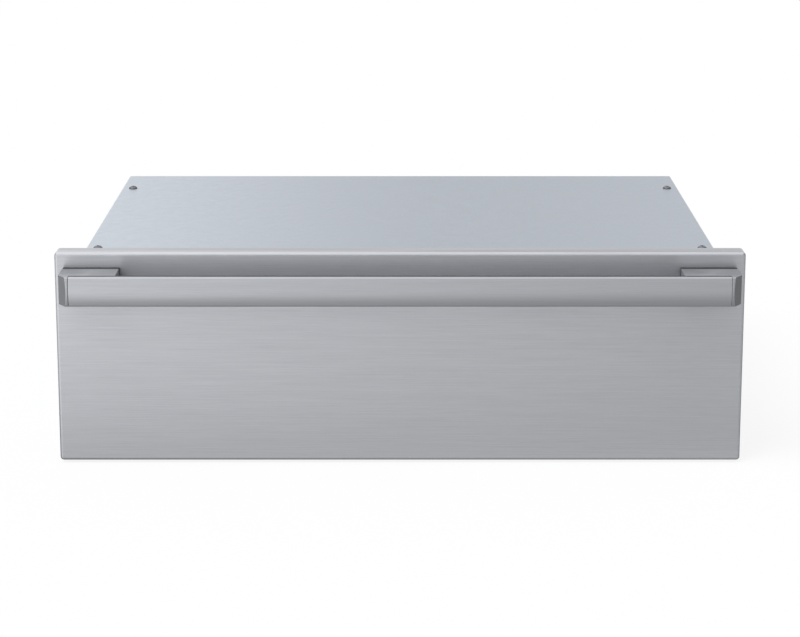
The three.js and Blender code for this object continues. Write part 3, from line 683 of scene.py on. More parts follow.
@dataclass(frozen=True)
class MineralWool(Finish):
    """Needled wool blanket: short pale fibres lying every way."""

    fibre: float = 7.0

    def pattern(self, tree: Tree) -> Socket:
        """Fibres along x crossed by fibres along y and z.

        Args:
            tree: The material's node tree.

        Returns:
            The socket that gives the pattern.
        """
        along = self.field(tree, (self.fibre, 0.8, 0.8), 4.0)
        inputs = {0: 0.5, 2: along, 3: self.field(tree, (0.8, self.fibre, 1.6), 4.0)}
        return add_node(tree, "ShaderNodeMix", inputs, data_type="FLOAT").outputs[0]


@dataclass(frozen=True)
class MouldedPlastic(Finish):
    """Injection-moulded plastic with a spark-eroded texture."""

    texture: float = 0.6

    def pattern(self, tree: Tree) -> Socket:
        """Fine even pits."""
        return self.field(tree, (self.texture,) * 3, 3.0)

    def extra(self, shader: bpy.types.Node) -> None:
        """Plastic bends light less than the default."""
        shader.inputs["IOR"].default_value = 1.46


@dataclass(frozen=True)
class SmokedAcrylic(Finish):
    """Clear cast acrylic tinted dark, polished, so lit digits show through it."""

    def extra(self, shader: bpy.types.Node) -> None:
        """Lets light through."""
        shader.inputs["IOR"].default_value = 1.49
        shader.inputs["Transmission Weight"].default_value = 0.85


@dataclass(frozen=True)
class CircuitLaminate(Finish):
    """Glass-fibre board under green solder mask, with copper runs showing through."""

    pitch: float = 4.0

    def pattern(self, tree: Tree) -> Socket:
        """Copper runs as the mortar lines of a brick pattern across the board.

        Args:
            tree: The material's node tree.

        Returns:
            The socket that gives the pattern.
        """
        place = add_node(tree, "ShaderNodeTexCoord").outputs["Object"]
        inputs = {"Vector": place, "Rotation": (math.pi / 2, 0, 0)}
        across = add_node(tree, "ShaderNodeMapping", inputs).outputs[0]
        inputs = {"Vector": across, "Scale": 1 / (self.pitch * MM), "Mortar Size": 0.06}
        for name, grey in (("Color1", 0.3), ("Color2", 0.4), ("Mortar", 0.75)):
            inputs[name] = (grey, grey, grey, 1)
        return add_node(tree, "ShaderNodeTexBrick", inputs).outputs["Color"]


@dataclass(frozen=True)
class BraidedSleeve(Finish):
    """Woven glass sleeve over the loom's wires."""

    strand: float = 3.0

    def pattern(self, tree: Tree) -> Socket:
        """Crossed bands as wide as a strand bundle.

        Args:
            tree: The material's node tree.

        Returns:
            The socket that gives the pattern.
        """
        place = add_node(tree, "ShaderNodeTexCoord").outputs["Object"]
        inputs = {"Vector": place, "Scale": 1 / (self.strand * MM) / 6.0, "Distortion": 1.5}
        bands = add_node(tree, "ShaderNodeTexWave", inputs, bands_direction="DIAGONAL")
        return bands.outputs["Fac"]


# Belt-brushed 304 stainless: pale, with horizontal grain that smears reflections.
STAINLESS = RolledSteel(
    "brushed_stainless", "stainless", "#c3c5ca", "#d1d3d8", 0.4, 0.04, bump=0.2, streak=0.55
)
# The bar's polished finish is finer, so its crown shows the room in bands. Its colour is darker
# than the front's steel: painted shade.
BAR_STEEL = RolledSteel(
    "brushed_stainless_bar", "stainless", "#b5b7bc", "#c3c5ca", 0.33, 0.04, bump=0.2, streak=0.35
)
# The same steel on the handle's blocks, with a shorter grain; its colour is darker than the
# front's, painted shade for the blocks' darker tops and slanted corners.
BLOCK_STEEL = RolledSteel(
    "brushed_stainless_block", "stainless", "#aaacb0", "#b7b9bd", 0.38, 0.04,
    bump=0.2, length=60, streak=0.5,
)
# Drawn stainless pan with a satin inside.
PAN_STEEL = RolledSteel(
    "satin_pan_steel", "pan_steel", "#bcbdbe", "#cdcecf", 0.33, 0.05, grain=Axis.Y
)
# Aluminised steel: dull, slightly mottled.
LINER_STEEL = SatinMetal("aluminised_steel", "liner_steel", "#a9aaab", "#b9babb", 0.42, blot=3.0)
# Zinc-coated sheet of the outer shell.
ZINC = ZincCoatedSheet(
    "zinc_coated_sheet", "zinc_sheet", "#c9d0da", "#cfd6df", 0.4, 0.04, bump=0.03
)
# Bright zinc plate on cold-rolled slides, with roll lines.
SLIDE_STEEL = RolledSteel(
    "zinc_plated_slide", "slide_steel", "#adb2b6", "#c3c8cc", 0.32,
    grain=Axis.Y, length=80, width=1.2,
)
# Ball cages: thinner strip, duller plate.
CAGE_STEEL = SatinMetal("plated_cage_strip", "cage_steel", "#848a8f", "#9da3a8", 0.4)
# Lid screws: the screw plate with its colour darkened, painted shade for the dark round their
# domes, and a low roughness.
DARKENED_SCREW_PLATE = SatinMetal("dull_screw_plate", "screw_steel", "#6a6d71", "#85888d", 0.2, blot=1.0)
# Nickel-plated screws, wires and probe.
NICKEL = SatinMetal("nickel_plate", "screw_steel", "#a0a3a7", "#bdbfc3", 0.28, blot=1.0)
# Heater sheath: nickel alloy browned by heat.
SHEATH = SatinMetal("oxidised_sheath", "element_sheath", "#4a423b", "#6d655d", 0.5, blot=6.0)
# Needled mineral wool.
WOOL = MineralWool("mineral_wool", "fibre", "#b9b08f", "#e3dcc8", 0.95, 0.03, bump=0.6)
# Extruded silicone rubber, dark grey.
RUBBER = MouldedPlastic(
    "silicone_rubber", "gasket_rubber", "#222326", "#303135", 0.72, texture=1.2
)
# Black glass-filled plastic.
BLACK_PLASTIC = MouldedPlastic(
    "black_moulded_plastic", "black_plastic", "#17181a", "#26272a", 0.48
)
# Release lever's acetal.
LEVER_PLASTIC = MouldedPlastic("acetal", "lever_plastic", "#1d1f22", "#2c2f33", 0.42)
# Button caps in dark grey plastic.
BUTTON_PLASTIC = MouldedPlastic("button_plastic", "button_plastic", "#35373a", "#46484c", 0.42)
# White ink of the marks on the buttons and the display's segments.
MARK_INK = MouldedPlastic("white_ink", "button_plastic", "#d3d5d8", "#e9ebee", 0.5)
# Smoked window over the display.
LENS = SmokedAcrylic("smoked_acrylic", "smoked_lens", "#3a3335", "#3f3839", 0.06, 0.01, bump=0.0)
# Circuit board.
LAMINATE = CircuitLaminate("green_laminate", "circuit_board", "#17452a", "#2f7a4c", 0.4)
# Black bodies of the board's components.
COMPONENT = MouldedPlastic("component_body", "circuit_board", "#18191b", "#242528", 0.45)
# Tinned leads, pads and transformer laminations.
TINNED = SatinMetal("tinned_metal", "circuit_board", "#8f9296", "#adb0b4", 0.35)
# Glazed steatite of the terminal block.
STEATITE = MouldedPlastic("steatite", "ceramic", "#d9d4c8", "#ece8de", 0.35, texture=2.0)
# Brass clamping screws.
BRASS = SatinMetal("brass", "ceramic", "#a8884a", "#c9a866", 0.3)
# Braided sleeve of the loom.
SLEEVE = BraidedSleeve("braided_sleeve", "harness_sleeve", "#1c1c1e", "#3c3c40", 0.65, bump=0.5)


def eased(node: str, name: str, finish: Finish, width: float, body: str = "cabinet") -> None:
    """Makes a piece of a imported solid, its bends and cut edges rounded off."""
    Form().solid(node).softened(width).piece(name, finish, body, node)


def wool_blanket(node: str, name: str, body: str = "cabinet") -> None:
    """Makes a blanket of wool in a packed block's place, uneven and with soft edges.

    Args:
        node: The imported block.
        name: The blanket's name.
        body: The body that it rides on.
    """
    form, cell, broad, fine = Form().solid(node), 24, 37.0, 9.0
    low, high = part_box(node)
    size = (high - low) / MM
    for axis in Axis:
        count = int(size[axis.value] // cell)
        for i in range(1, count):
            spot = low / MM - Vector((0, FRONT_FACE_Y, 0))
            spot[axis.value] += size[axis.value] * i / count
            geometry = form.bm.verts[:] + form.bm.edges[:] + form.bm.faces[:]
            cut = {"plane_co": spot, "plane_no": axis.place((0, 0), 1.0)}
            bmesh.ops.bisect_plane(form.bm, geom=geometry, dist=WELD, **cut)
    form.bm.normal_update()
    deepest = min(min(size) * 0.12, 2.0)
    for vert in form.bm.verts:
        sink = 0.35 + 0.5 * noise.noise(vert.co / broad) + 0.15 * noise.noise(vert.co / fine)
        vert.co -= vert.normal * deepest * min(max(sink, 0.0), 1.0)
    form.piece(name, WOOL, body, node)


# ---- drawer front


@dataclass
class DrawerFront:
    """Stainless skin, inner panel, vent, ring seal and stops of the drawer's front."""

    half: float = 379.5
    bottom: float = 3.0
    top: float = 240.0
    depth: float = 25.0
    corner: float = 4.0
    edge: float = 3.4
    sheet: float = 1.2
    vent_z: float = 169.5
    panel_back: float = 24.7
    stop_x: float = 360.0
    stop_z: float = 212.0

    def skin(self) -> None:
        """Face and edges of one sheet, open at the back, with drain slots below."""
        form = Form().block(about(0, self.half), (0, self.depth), (self.bottom, self.top))
        form.soften(form.edges_along(Axis.Y), self.corner, 6)
        form.soften(form.edges_at(lambda p: p.y < NEAR), self.edge, 8)
        form.open_at(lambda p: p.y > self.depth - NEAR).sheeted(self.sheet)
        tool = Form()
        for x in range(-80, 81, 20):
            slot = rounded_rectangle(about(x, 6), (12, 16), 1.9)
            tool.prism(slot, Axis.Z, (self.bottom - 1, self.bottom + self.sheet + 1))
        for side, z in product(Side, HANDLE_SCREW_HEIGHTS):
            hole = disc((side.value * HANDLE_SCREW_X, z), 3.0)
            tool.prism(hole, Axis.Y, (-1, self.sheet + 1))
        form.carved(tool).piece("front_skin_sheet", STAINLESS, "drawer", "front_skin")

    def inner_panel(self) -> None:
        """Inner panel with bent flanges, punched vent slots, hooked lips and rivets."""
        eased("front_inner_panel", "front_inner_sheet", LINER_STEEL, 0.45, "drawer")
        dome = [(0, 1.2), (1.6, 0.9), (2.9, 0), (2.9, -0.5), (0, -0.5)]
        spots = product((-300, -180, 180, 300), (30, 226))
        rivets = Form().turned(dome, Axis.Y, 16, *spots, base=self.panel_back)
        rivets.piece("front_panel_rivets", NICKEL, "drawer")

    def vent(self) -> None:
        """Vent slider with a ribbed finger tab."""
        eased("vent_slider", "vent_slider_plate", BLACK_PLASTIC, 0.3, "vent_slider")
        ribs = Form()
        for i in range(4):
            z = self.vent_z - 2.4 + 1.6 * i
            ribs.block((-3.2, 3.2), (29.5, 30.9), about(z, 0.3), 0.2)
        ribs.piece("vent_tab_ribs", BLACK_PLASTIC, "vent_slider")

    def seal(self) -> None:
        """Ring seal: a flat foot with a rounded ridge on it."""
        outer = rounded_rectangle(about(0, 346.0), (10.5, 188.5), 14.0)
        inner = rounded_rectangle(about(0, 334.0), (19.8, 180.2), 6.0)
        foot = self.ring(outer, inner, (25.0, 27.5)).softened(0.6)
        outer = rounded_rectangle(about(0, 344.6), (11.9, 187.1), 13.0)
        inner = rounded_rectangle(about(0, 335.4), (18.4, 181.6), 7.0)
        ridge = self.ring(outer, inner, (27.0, 33.7)).softened(2.4, 5, 60)
        foot.joined(ridge).piece("ring_seal", RUBBER, "drawer", "drawer_gasket")

    def ring(self, outer: Sequence[Span], inner: Sequence[Span], y: Span) -> Form:
        """A ring between two outlines, standing across y."""
        hole = Form().prism(inner, Axis.Y, (y[0] - 1, y[1] + 1))
        return Form().prism(outer, Axis.Y, y).carved(hole)

    def stops(self) -> None:
        """Rubber stops with domed ends."""
        profile = [(0, 33.7), (2.4, 33.4), (4.1, 32.5), (4.9, 31), (5, 27), (4.7, 25), (0, 25)]
        for side in Side:
            spot = (side.value * self.stop_x, self.stop_z)
            form = Form().turned(profile, Axis.Y, 32, spot)
            form.piece(f"{side.word}_stop", RUBBER, "drawer", f"{side.word}_bumper")

    def build(self) -> None:
        """Makes the front's pieces."""
        self.skin()
        self.inner_panel()
        self.vent()
        self.seal()
        self.stops()
        wool_blanket("front_insulation", "front_wool", "drawer")


# ---- handle


@dataclass
class Handle:
    """Full-width bar with a crowned face, and the end blocks that carry it."""

    front: float = -56.5
    back: float = -44.5
    bottom: float = 191.3
    top: float = 223.8
    crown: float = 2.0
    edge: float = 2.0
    # Depth of the blocks' seats and of the black spacers there, which are painted shade.
    foot: float = 10.0
    # Depth and height of the bar's black strip and its rebate; the strip is painted shade.
    strip: float = 5.4
    strip_height: float = 3.2
    bar_half: float = 357.7
    block_inner: float = 307.5
    block_outer: float = 370.0
    nose: float = 360.3
    chamfer_y: float = -41.0
    fit: float = 0.3
    inset: float = 0.4

    def section(self, rear: float) -> list[Span]:
        """The handle seen end on: round front edges and a crown between them.

        Args:
            rear: Where the section ends at the back.

        Returns:
            Points as pairs of y and z.
        """
        shoulder, edge = self.front + self.crown, self.edge
        low, high = self.bottom + edge, self.top - edge
        crown = []
        for t in (i / 20 for i in range(1, 20)):
            crown.append((shoulder - 4 * t * (1 - t) * self.crown, low + t * (high - low)))
        under = arc((shoulder + edge, low), edge, 270, 180, 6)
        over = arc((shoulder + edge, high), edge, 180, 90, 6)
        return [(rear, self.bottom), *under, *crown, *over, (rear, self.top)]

    def bar(self) -> None:
        """The folded bar with eased ends, and a black strip in its rebated upper back: painted
        shade for the dark line along the bar's upper back edge.
        """
        rebate, ledge = self.back - self.strip, self.top - self.strip_height
        span = about(0, self.bar_half)
        folded = [(self.back, self.bottom), *self.section(rebate)[1:]]
        outline = [*folded, (rebate, ledge), (self.back, ledge)]
        form = Form().prism(outline, Axis.X, span).softened(0.25, 2, 60)
        form.piece("handle_bar_shell", BAR_STEEL, "drawer", "handle_bar")
        # Painted shade: the black strip darkens the bar's upper back edge.
        strip = Form().block(span, (rebate, self.back), (ledge, self.top - 0.1), 0.2)
        strip.piece("handle_back_strip", BLACK_PLASTIC, "drawer")

    def end_blocks(self) -> None:
        """End blocks: each turns round the bar's end and its outer corner is slanted."""
        inner, outer, seat = self.block_inner, self.block_outer, -self.foot
        mouth, ahead, rest = self.bar_half + self.fit, self.front - 1, self.back + self.fit
        plan = [(inner, seat), (inner, rest), (mouth, rest), (mouth, ahead), (self.nose, ahead)]
        plan += [(self.nose, self.front), (outer, self.chamfer_y), (outer, seat)]
        for side in Side:
            form = Form().prism(self.section(seat), Axis.X, (inner - 1, outer + 1))
            form.carved(Form().prism(plan, Axis.Z, (self.bottom - 1, self.top + 1)), "INTERSECT")
            form.flattened().softened(0.5, 3, 20).mirrored(side)
            name = f"{side.word}_handle_"
            form.piece(name + "block", BLOCK_STEEL, "drawer", name + "end")

    def mountings(self) -> None:
        """Black spacers at the blocks' feet, painted shade for the shadow gap that shows as a dark
        line round the blocks, and screws inside the skin.
        """
        x = (self.block_inner + self.inset, self.block_outer - self.inset)
        z = (self.bottom + self.inset, self.top - self.inset)
        head = [(0, 4.0), (2.6, 3.9), (3.7, 3.2), (3.9, 1.3), (2.0, 1.3), (2.0, -14), (0, -15)]
        for side in Side:
            # Painted shade: a black spacer where the shadow gap round each block shows dark.
            foot = Form().block(x, (-self.foot, -self.fit), z, 0.4).mirrored(side)
            foot.piece(f"{side.word}_handle_foot", BLACK_PLASTIC, "drawer")
            spots = product([side.value * HANDLE_SCREW_X], HANDLE_SCREW_HEIGHTS)
            screws = Form().turned(head, Axis.Y, 20, *spots)
            screws.piece(f"{side.word}_handle_screws", NICKEL, "drawer")

    def build(self) -> None:
        """Makes the handle's pieces."""
        self.bar()
        self.end_blocks()
        self.mountings()


# ---- cabinet shell


@dataclass
class CabinetShell:
    """Zinc-coated shell, its lid screws and the face frame."""

    half: float = 360.0
    front: float = 36.3
    back: float = 606.0
    top: float = 219.5
    lid_skirt: float = 14.5
    lid_sheet: float = 1.0
    bend: float = 1.6
    outside: float = 595.2
    screw_x: float = 346.0

    def lid(self) -> None:
        """Lid folded down at its sides and back, with a hole for each screw."""
        low = self.top - self.lid_skirt
        form = Form().block(about(0, self.half), (self.front, self.back), (low, self.top))
        upright = form.edges_along(Axis.Z)
        form.soften([e for e in upright if e.verts[0].co.y > self.back - NEAR], self.bend, 4)
        upper = form.edges_at(lambda p: p.z > self.top - NEAR)
        behind = [e for e in upper if any(v.co.y > self.front + NEAR for v in e.verts)]
        form.soften(behind, self.bend, 4)
        form.open_at(lambda p: p.z < low + NEAR)
        form.open_at(lambda p: p.y < self.front + NEAR).sheeted(self.lid_sheet)
        tool = Form()
        for side, depth in product(Side, LID_SCREWS.values()):
            hole = disc((side.value * self.screw_x, depth), 2.4)
            tool.prism(hole, Axis.Z, (self.top - 3, self.top + 1))
        form.carved(tool).piece("lid_sheet", ZINC, "cabinet", "top_cover")

    def lid_screws(self) -> None:
        """Domed screws with a cross recess."""
        shank = [(0, -9), (1.9, -8), (1.9, 0), (5.4, 0), (5.4, 0.6)]
        dome = [(5.15, 1.2), (4.5, 2.0), (3.4, 2.7), (1.8, 3.15), (0, 3.3)]
        seat = self.top + 0.1
        for side, (end, y) in product(Side, LID_SCREWS.items()):
            x, recess = side.value * self.screw_x, (seat + 1.4, seat + 5)
            form = Form().turned([*shank, *dome], Axis.Z, 40, (x, y), base=seat)
            for across, along in ((0.55, 2.4), (2.4, 0.55)):
                form.carved(Form().block(about(x, across), about(y, along), recess))
            name = f"{end}_{side.word}"
            form.piece(f"screw_{name}", DARKENED_SCREW_PLATE, "cabinet", f"lid_screw_{name}")

    def folded_sheets(self) -> None:
        """Side panels, floor, face frame and back, as packed but with their edges eased."""
        for side in Side:
            eased(f"{side.word}_side_panel", f"{side.word}_side_sheet", ZINC, 0.4)
        eased("base_pan", "floor_sheet", ZINC, 0.35)
        eased("front_frame", "face_frame", LINER_STEEL, 0.4)
        eased("back_panel", "back_sheet", ZINC, 0.35)

    def back_fittings(self) -> None:
        """A hood over each louvre slot of the back, and its screws."""
        hoods, y = Form(), self.outside
        for x in range(-120, 49, 24):
            hood = Form().block((x - 3.5, x + 1.5), (y - 2, y + 3.2), (148, 192), 1.9, 4)
            hood.carved(Form().block((x - 2.3, x + 5), (y - 3, y + 2.0), (149.4, 190.6)))
            hood.carved(Form().block(about(x, 9), (y - 5, y - 0.05), (140, 200)))
            hoods.joined(hood)
        hoods.piece("louvre_hoods", ZINC, "cabinet")
        head = [(0, 2.1), (2.0, 1.9), (3.4, 0.9), (3.6, 0), (0, -0.2)]
        spots = product((-330, -165, 165, 330), (12, 208))
        Form().turned(head, Axis.Y, 20, *spots, base=y).piece("back_screws", NICKEL, "cabinet")

    def build(self) -> None:
        """Makes the shell's pieces."""
        self.lid()
        self.lid_screws()
        self.folded_sheets()
        self.back_fittings()


# ---- chamber


@dataclass
class WarmingChamber:
    """Liner, heating element, clips, probe and the thermostat behind."""

    element_z: float = 31.0
    element_radius: float = 3.25
    element_bend: float = 27.0
    back: float = 545.0
    sensor: Span = (-120.0, 168.0)
    cutout: Span = (110.0, 164.0)

    def element(self) -> None:
        """Sheathed rod bent into an M, with its bushings and pins at the back."""
        half = [(40, 560), (40, 500), (280, 500), (280, 140), (100, 140), (100, 420)]
        left = [(-x, y, self.element_z) for x, y in half]
        right = [(x, y, self.element_z) for x, y in reversed(half)]
        route = bent_route([*left, *right], self.element_bend, 10)
        rod = Form().wire(route, self.element_radius, sides=5)
        rod.piece("element_rod", SHEATH, "cabinet", "heating_element")
        bush = [(3.4, 546.3), (6.8, 546.3), (6.8, 549.6), (5.2, 550.4), (3.4, 550.4)]
        pin = [(0, 566), (1.2, 565.6), (1.5, 564.8), (1.5, 559), (0, 559)]
        spots = [(-40.0, self.element_z), (40.0, self.element_z)]
        ends = Form().turned(bush, Axis.Y, 24, *spots).turned(pin, Axis.Y, 16, *spots)
        ends.piece("element_bushings", NICKEL, "cabinet")

    def probe(self) -> None:
        """Temperature probe: a domed tube in a crimped collar."""
        tube = [(0, -40), (1.0, -39.8), (1.9, -39), (2.4, -37.4), (2.4, -9), (2.15, -8.4)]
        collar = [(2.4, -7.8), (2.4, -2.5), (6.6, -2.5), (7, -2.1), (7, -0.3), (3, -0.3)]
        profile = [*tube, *collar, (3, 11), (0, 11)]
        form = Form().turned(profile, Axis.Y, 32, self.sensor, base=self.back)
        form.piece("probe", NICKEL, "cabinet", "temperature_sensor")

    def thermostat(self) -> None:
        """Disc thermostat with its ears and tabs."""
        (x, z), face = self.cutout, self.back + 1.3
        profile = [(0, 0), (10.5, 0), (10.5, 8.2), (9.9, 9), (4.2, 9), (0, 9)]
        body = Form().turned(profile, Axis.Y, 40, self.cutout, base=face)
        body.piece("thermostat_body", BLACK_PLASTIC, "cabinet", "high_limit_cutout")
        metal, holes = Form().block(about(x, 19), (face, face + 1.2), about(z, 4), 0.4), Form()
        for way in (-1, 1):
            metal.block(about(x + way * 5.25, 0.75), (face + 8, face + 17), about(z, 3), 0.3)
            holes.prism(disc((x + way * 15.5, z), 1.6), Axis.Y, (face - 1, face + 3))
        metal.carved(holes).piece("thermostat_tabs", TINNED, "cabinet")

    def build(self) -> None:
        """Makes the chamber's pieces, its liner and clips with eased edges."""
        eased("chamber_liner", "liner_shell", LINER_STEEL, 0.45)
        self.element()
        for word in ("left", "right", "middle"):
            eased(f"element_clip_{word}", f"clip_{word}", LINER_STEEL, 0.3)
        self.probe()
        self.thermostat()
        for word in ("base", "top", "back", "left", "right"):
            wool_blanket(f"insulation_{word}", f"wool_{word}")


# ---- slides


@dataclass
class Member:
    """One folded channel of a slide, its web and tips measured from the chamber's wall."""

    name: str
    web: float
    tip: float
    rise: float
    wall: float


@dataclass
class Slides:
    """Telescopic slides: three rails and two ball cages a side, with their balls."""

    wall_x: float = 331.5
    z: float = 97.0
    rail: Span = (40.0, 520.0)
    cage: Span = (180.0, 380.0)
    ball: float = 1.6
    ball_gap: float = 0.15
    first_ball: float = 192.0
    ball_pitch: float = 25.0

    def channel(self, member: Member, span: Span) -> Form:
        """A channel on the right-hand side, its folds rounded.

        Args:
            member: The channel's section.
            span: Its limits in depth.

        Returns:
            The form.
        """
        inside = member.web + math.copysign(member.wall, member.tip - member.web)
        web, tip, inner = (self.wall_x - d for d in (member.web, member.tip, inside))
        low, high = about(self.z, member.rise)
        sill, roof = low + member.wall, high - member.wall
        outline = [(web, low), (tip, low), (tip, sill), (inner, sill)]
        outline += [(inner, roof), (tip, roof), (tip, high), (web, high)]
        form = Form().prism(outline, Axis.Y, span)
        for x, share, segments in ((web, 1.5, 4), (inner, 0.5, 3)):
            folds = [e for e in form.edges_along(Axis.Y) if abs(e.verts[0].co.x - x) < NEAR]
            form.soften(folds, member.wall * share, segments)
        return form

    def rail_piece(
        self, side: Side, member: Member, holes: Sequence[float], radius: float, body: str
    ) -> None:
        """A rail with a row of holes punched through its web.

        Args:
            side: The slide's side.
            member: The rail's section.
            holes: Depths of the holes.
            radius: Their radius.
            body: The body that the rail rides on.
        """
        tool = Form()
        for depth in holes:
            hole = disc((depth, self.z), radius, 20)
            tool.prism(hole, Axis.X, (self.wall_x - 16, self.wall_x + 2))
        form = self.channel(member, self.rail).carved(tool)
        if member.name == "inner":
            pin = [(0, -6.9), (2, -6.9), (2, -11.6), (0, -11.6)]
            form.turned(pin, Axis.X, 20, (138.0, self.z), base=self.wall_x)
        name = f"{side.word}_slide_{member.name}"
        form.mirrored(side).piece(name, SLIDE_STEEL, body, f"{side.word}_{member.name}_rail")

    def cage_pieces(self, side: Side, member: Member, offset: float, depth: float) -> None:
        """A cage with a pocket round each ball, and its balls in two rows.

        Args:
            side: The slide's side.
            member: The cage's section.
            offset: Distance up and down to the balls' middles.
            depth: Distance from the chamber's wall to them.
        """
        x, pockets, balls = self.wall_x - depth, Form(), Form()
        for i, way in product(range(8), (-1, 1)):
            y, z = self.first_ball + i * self.ball_pitch, self.z + way * offset
            pocket = disc((x, y), self.ball + self.ball_gap, 16)
            pockets.prism(pocket, Axis.Z, about(z, 3))
            spot = Matrix.Translation((x, y, z))
            bmesh.ops.create_icosphere(balls.bm, subdivisions=2, radius=self.ball, matrix=spot)
        body = f"{side.word}_{member.name}_cage"
        cage = self.channel(member, self.cage).carved(pockets).mirrored(side)
        cage.piece(f"{body}_strip", CAGE_STEEL, body, body)
        balls.mirrored(side).piece(f"{body}_balls", SLIDE_STEEL, body)

    def build(self) -> None:
        """Makes both slides and their release levers."""
        outer = Member("outer", 0.3, 11.8, 22.5, 1.5)
        middle = Member("middle", 3.6, 11.8, 17.5, 1.2)
        inner = Member("inner", 12.3, 6.6, 12.8, 1.5)
        outer_cage = Member("outer", 2.2, 9.0, 19.8, 1.0)
        inner_cage = Member("inner", 5.2, 10.0, 15.1, 1.0)
        for side in Side:
            self.rail_piece(side, outer, (70, 280, 490), 3.2, "cabinet")
            self.rail_piece(side, middle, (60, 170, 390, 500), 4.5, f"{side.word}_middle_rail")
            self.rail_piece(side, inner, (80, 300, 480), 2.6, "drawer")
            self.cage_pieces(side, outer_cage, 19.3, 6.6)
            self.cage_pieces(side, inner_cage, 14.55, 8.4)
            lever = f"{side.word}_release_lever"
            eased(lever, f"{side.word}_lever", LEVER_PLASTIC, 0.25, lever)


# ---- drawer body


@dataclass
class DrawerBody:
    """Pan, brackets and rack."""

    half: float = 306.0
    front: float = 34.0
    back: float = 528.0
    bottom: float = 50.0
    top: float = 158.0
    corner: float = 18.0
    rim_half: float = 316.5
    rim_front: float = 25.2
    rim_back: float = 538.0
    sheet: float = 1.0
    slide_z: float = 97.0

    def pan(self) -> None:
        """Drawn pan with round bottom edges and a flat rim."""
        form = Form().block(about(0, self.half), (self.front, self.back), (self.bottom, self.top))
        form.soften(form.edges_along(Axis.Z), self.corner, 8)
        form.soften(form.edges_at(lambda p: p.z < self.bottom + NEAR), 9.0, 6)
        form.open_at(lambda p: p.z > self.top - NEAR)
        brim = [e for e in form.bm.edges if e.is_boundary]
        grown = bmesh.ops.extrude_edge_only(form.bm, edges=brim)["geom"]
        for vert in [g for g in grown if isinstance(g, bmesh.types.BMVert)]:
            vert.co.x *= self.rim_half / self.half
            along = (vert.co.y - self.front) / (self.back - self.front)
            vert.co.y = self.rim_front + along * (self.rim_back - self.rim_front)
        form.soften(brim, 1.6, 4).sheeted(self.sheet)
        form.piece("pan_shell", PAN_STEEL, "drawer", "drawer_pan")

    def brackets(self) -> None:
        """Side brackets, with the rivets that hold the slides' drawer members."""
        head = [(0, 315.9), (1.8, 316.2), (3.2, 317.0), (3.4, 317.7), (0, 317.7)]
        for side in Side:
            name = f"{side.word}_bracket"
            eased(f"{side.word}_pan_bracket", name, SLIDE_STEEL, 0.35, "drawer")
            spots = product((80.0, 300.0, 480.0), [self.slide_z])
            rivets = Form().turned(head, Axis.X, 18, *spots).mirrored(side)
            rivets.piece(f"{name}_rivets", NICKEL, "drawer")

    def rack(self) -> None:
        """Wire rack: a closed ring, cross wires welded to it and four feet."""
        z, half_x, half_y, middle = 62.0, 290.0, 228.0, 281.0
        outline = rounded_rectangle(about(0, half_x), about(0, half_y), 10.0, 8)
        ring = [Vector((x, y + middle, z - 0.35)) for x, y in outline]
        form = Form().wire(ring, 2.8, closed=True)
        for x in range(-246, 247, 41):
            form.wire([Vector((x, y, z + 0.6)) for y in about(middle, half_y + 1)], 1.9)
        leg = [(0, 51.5), (1.2, 51.6), (2.1, 52.3), (2.3, 53.2), (2.3, z), (0, z)]
        spots = product((-half_x, half_x), about(middle, 180.0))
        form.turned(leg, Axis.Z, 16, *spots).piece("wire_rack", NICKEL, "drawer", "rack")

    def build(self) -> None:
        """Makes the pan, its brackets and the rack."""
        self.pan()
        self.brackets()
        self.rack()


# ---- controls


@dataclass(frozen=True)
class Button:
    """A push button's place along x and the generic sign printed on it.

    The sign's bars are pairs of limits across and up, its arc a radius and two angles in degrees.
    """

    x: float
    bars: Sequence[tuple[Span, Span]] = ()
    arc: Point | None = None
    outline: Sequence[Span] = ()


MINUS = ((-2.2, 2.2), (-0.3, 0.3))
BUTTONS = {
    "power": Button(-130.0, [((-0.24, 0.24), (0.4, 3.1))], (2.3, 125, 415)),
    "temp_down": Button(-84.0, [MINUS]),
    "temp_up": Button(-58.0, [MINUS, ((-0.3, 0.3), (0.35, 2.2)), ((-0.3, 0.3), (-2.2, -0.35))]),
    "timer": Button(
        62.0, [((-0.2, 0.2), (-0.1, 1.6)), ((0.25, 1.4), (-0.3, 0.1))], (2.4, 0, 359.5)
    ),
    "start": Button(130.0, outline=[(-1.6, -2.2), (2.3, 0.0), (-1.6, 2.2)]),
}
# The strokes of the display's 6 and 5, from the middle of each digit.
STROKES = {
    "a": ((-2.2, 2.2), (3.9, 4.5)),
    "c": ((2.3, 2.9), (-4.0, -0.3)),
    "d": ((-2.2, 2.2), (-4.5, -3.9)),
    "e": ((-2.9, -2.3), (-4.0, -0.3)),
    "f": ((-2.9, -2.3), (0.3, 4.0)),
    "g": ((-2.2, 2.2), (-0.3, 0.3)),
}
DIGITS = {-16.0: "acdefg", -7.0: "acdfg"}
# The C after the degree ring.
UNIT = (((6.6, 7.2), (-4.2, 4.2)), ((7.2, 10.6), (3.9, 4.5)), ((7.2, 10.6), (-4.5, -3.9)))


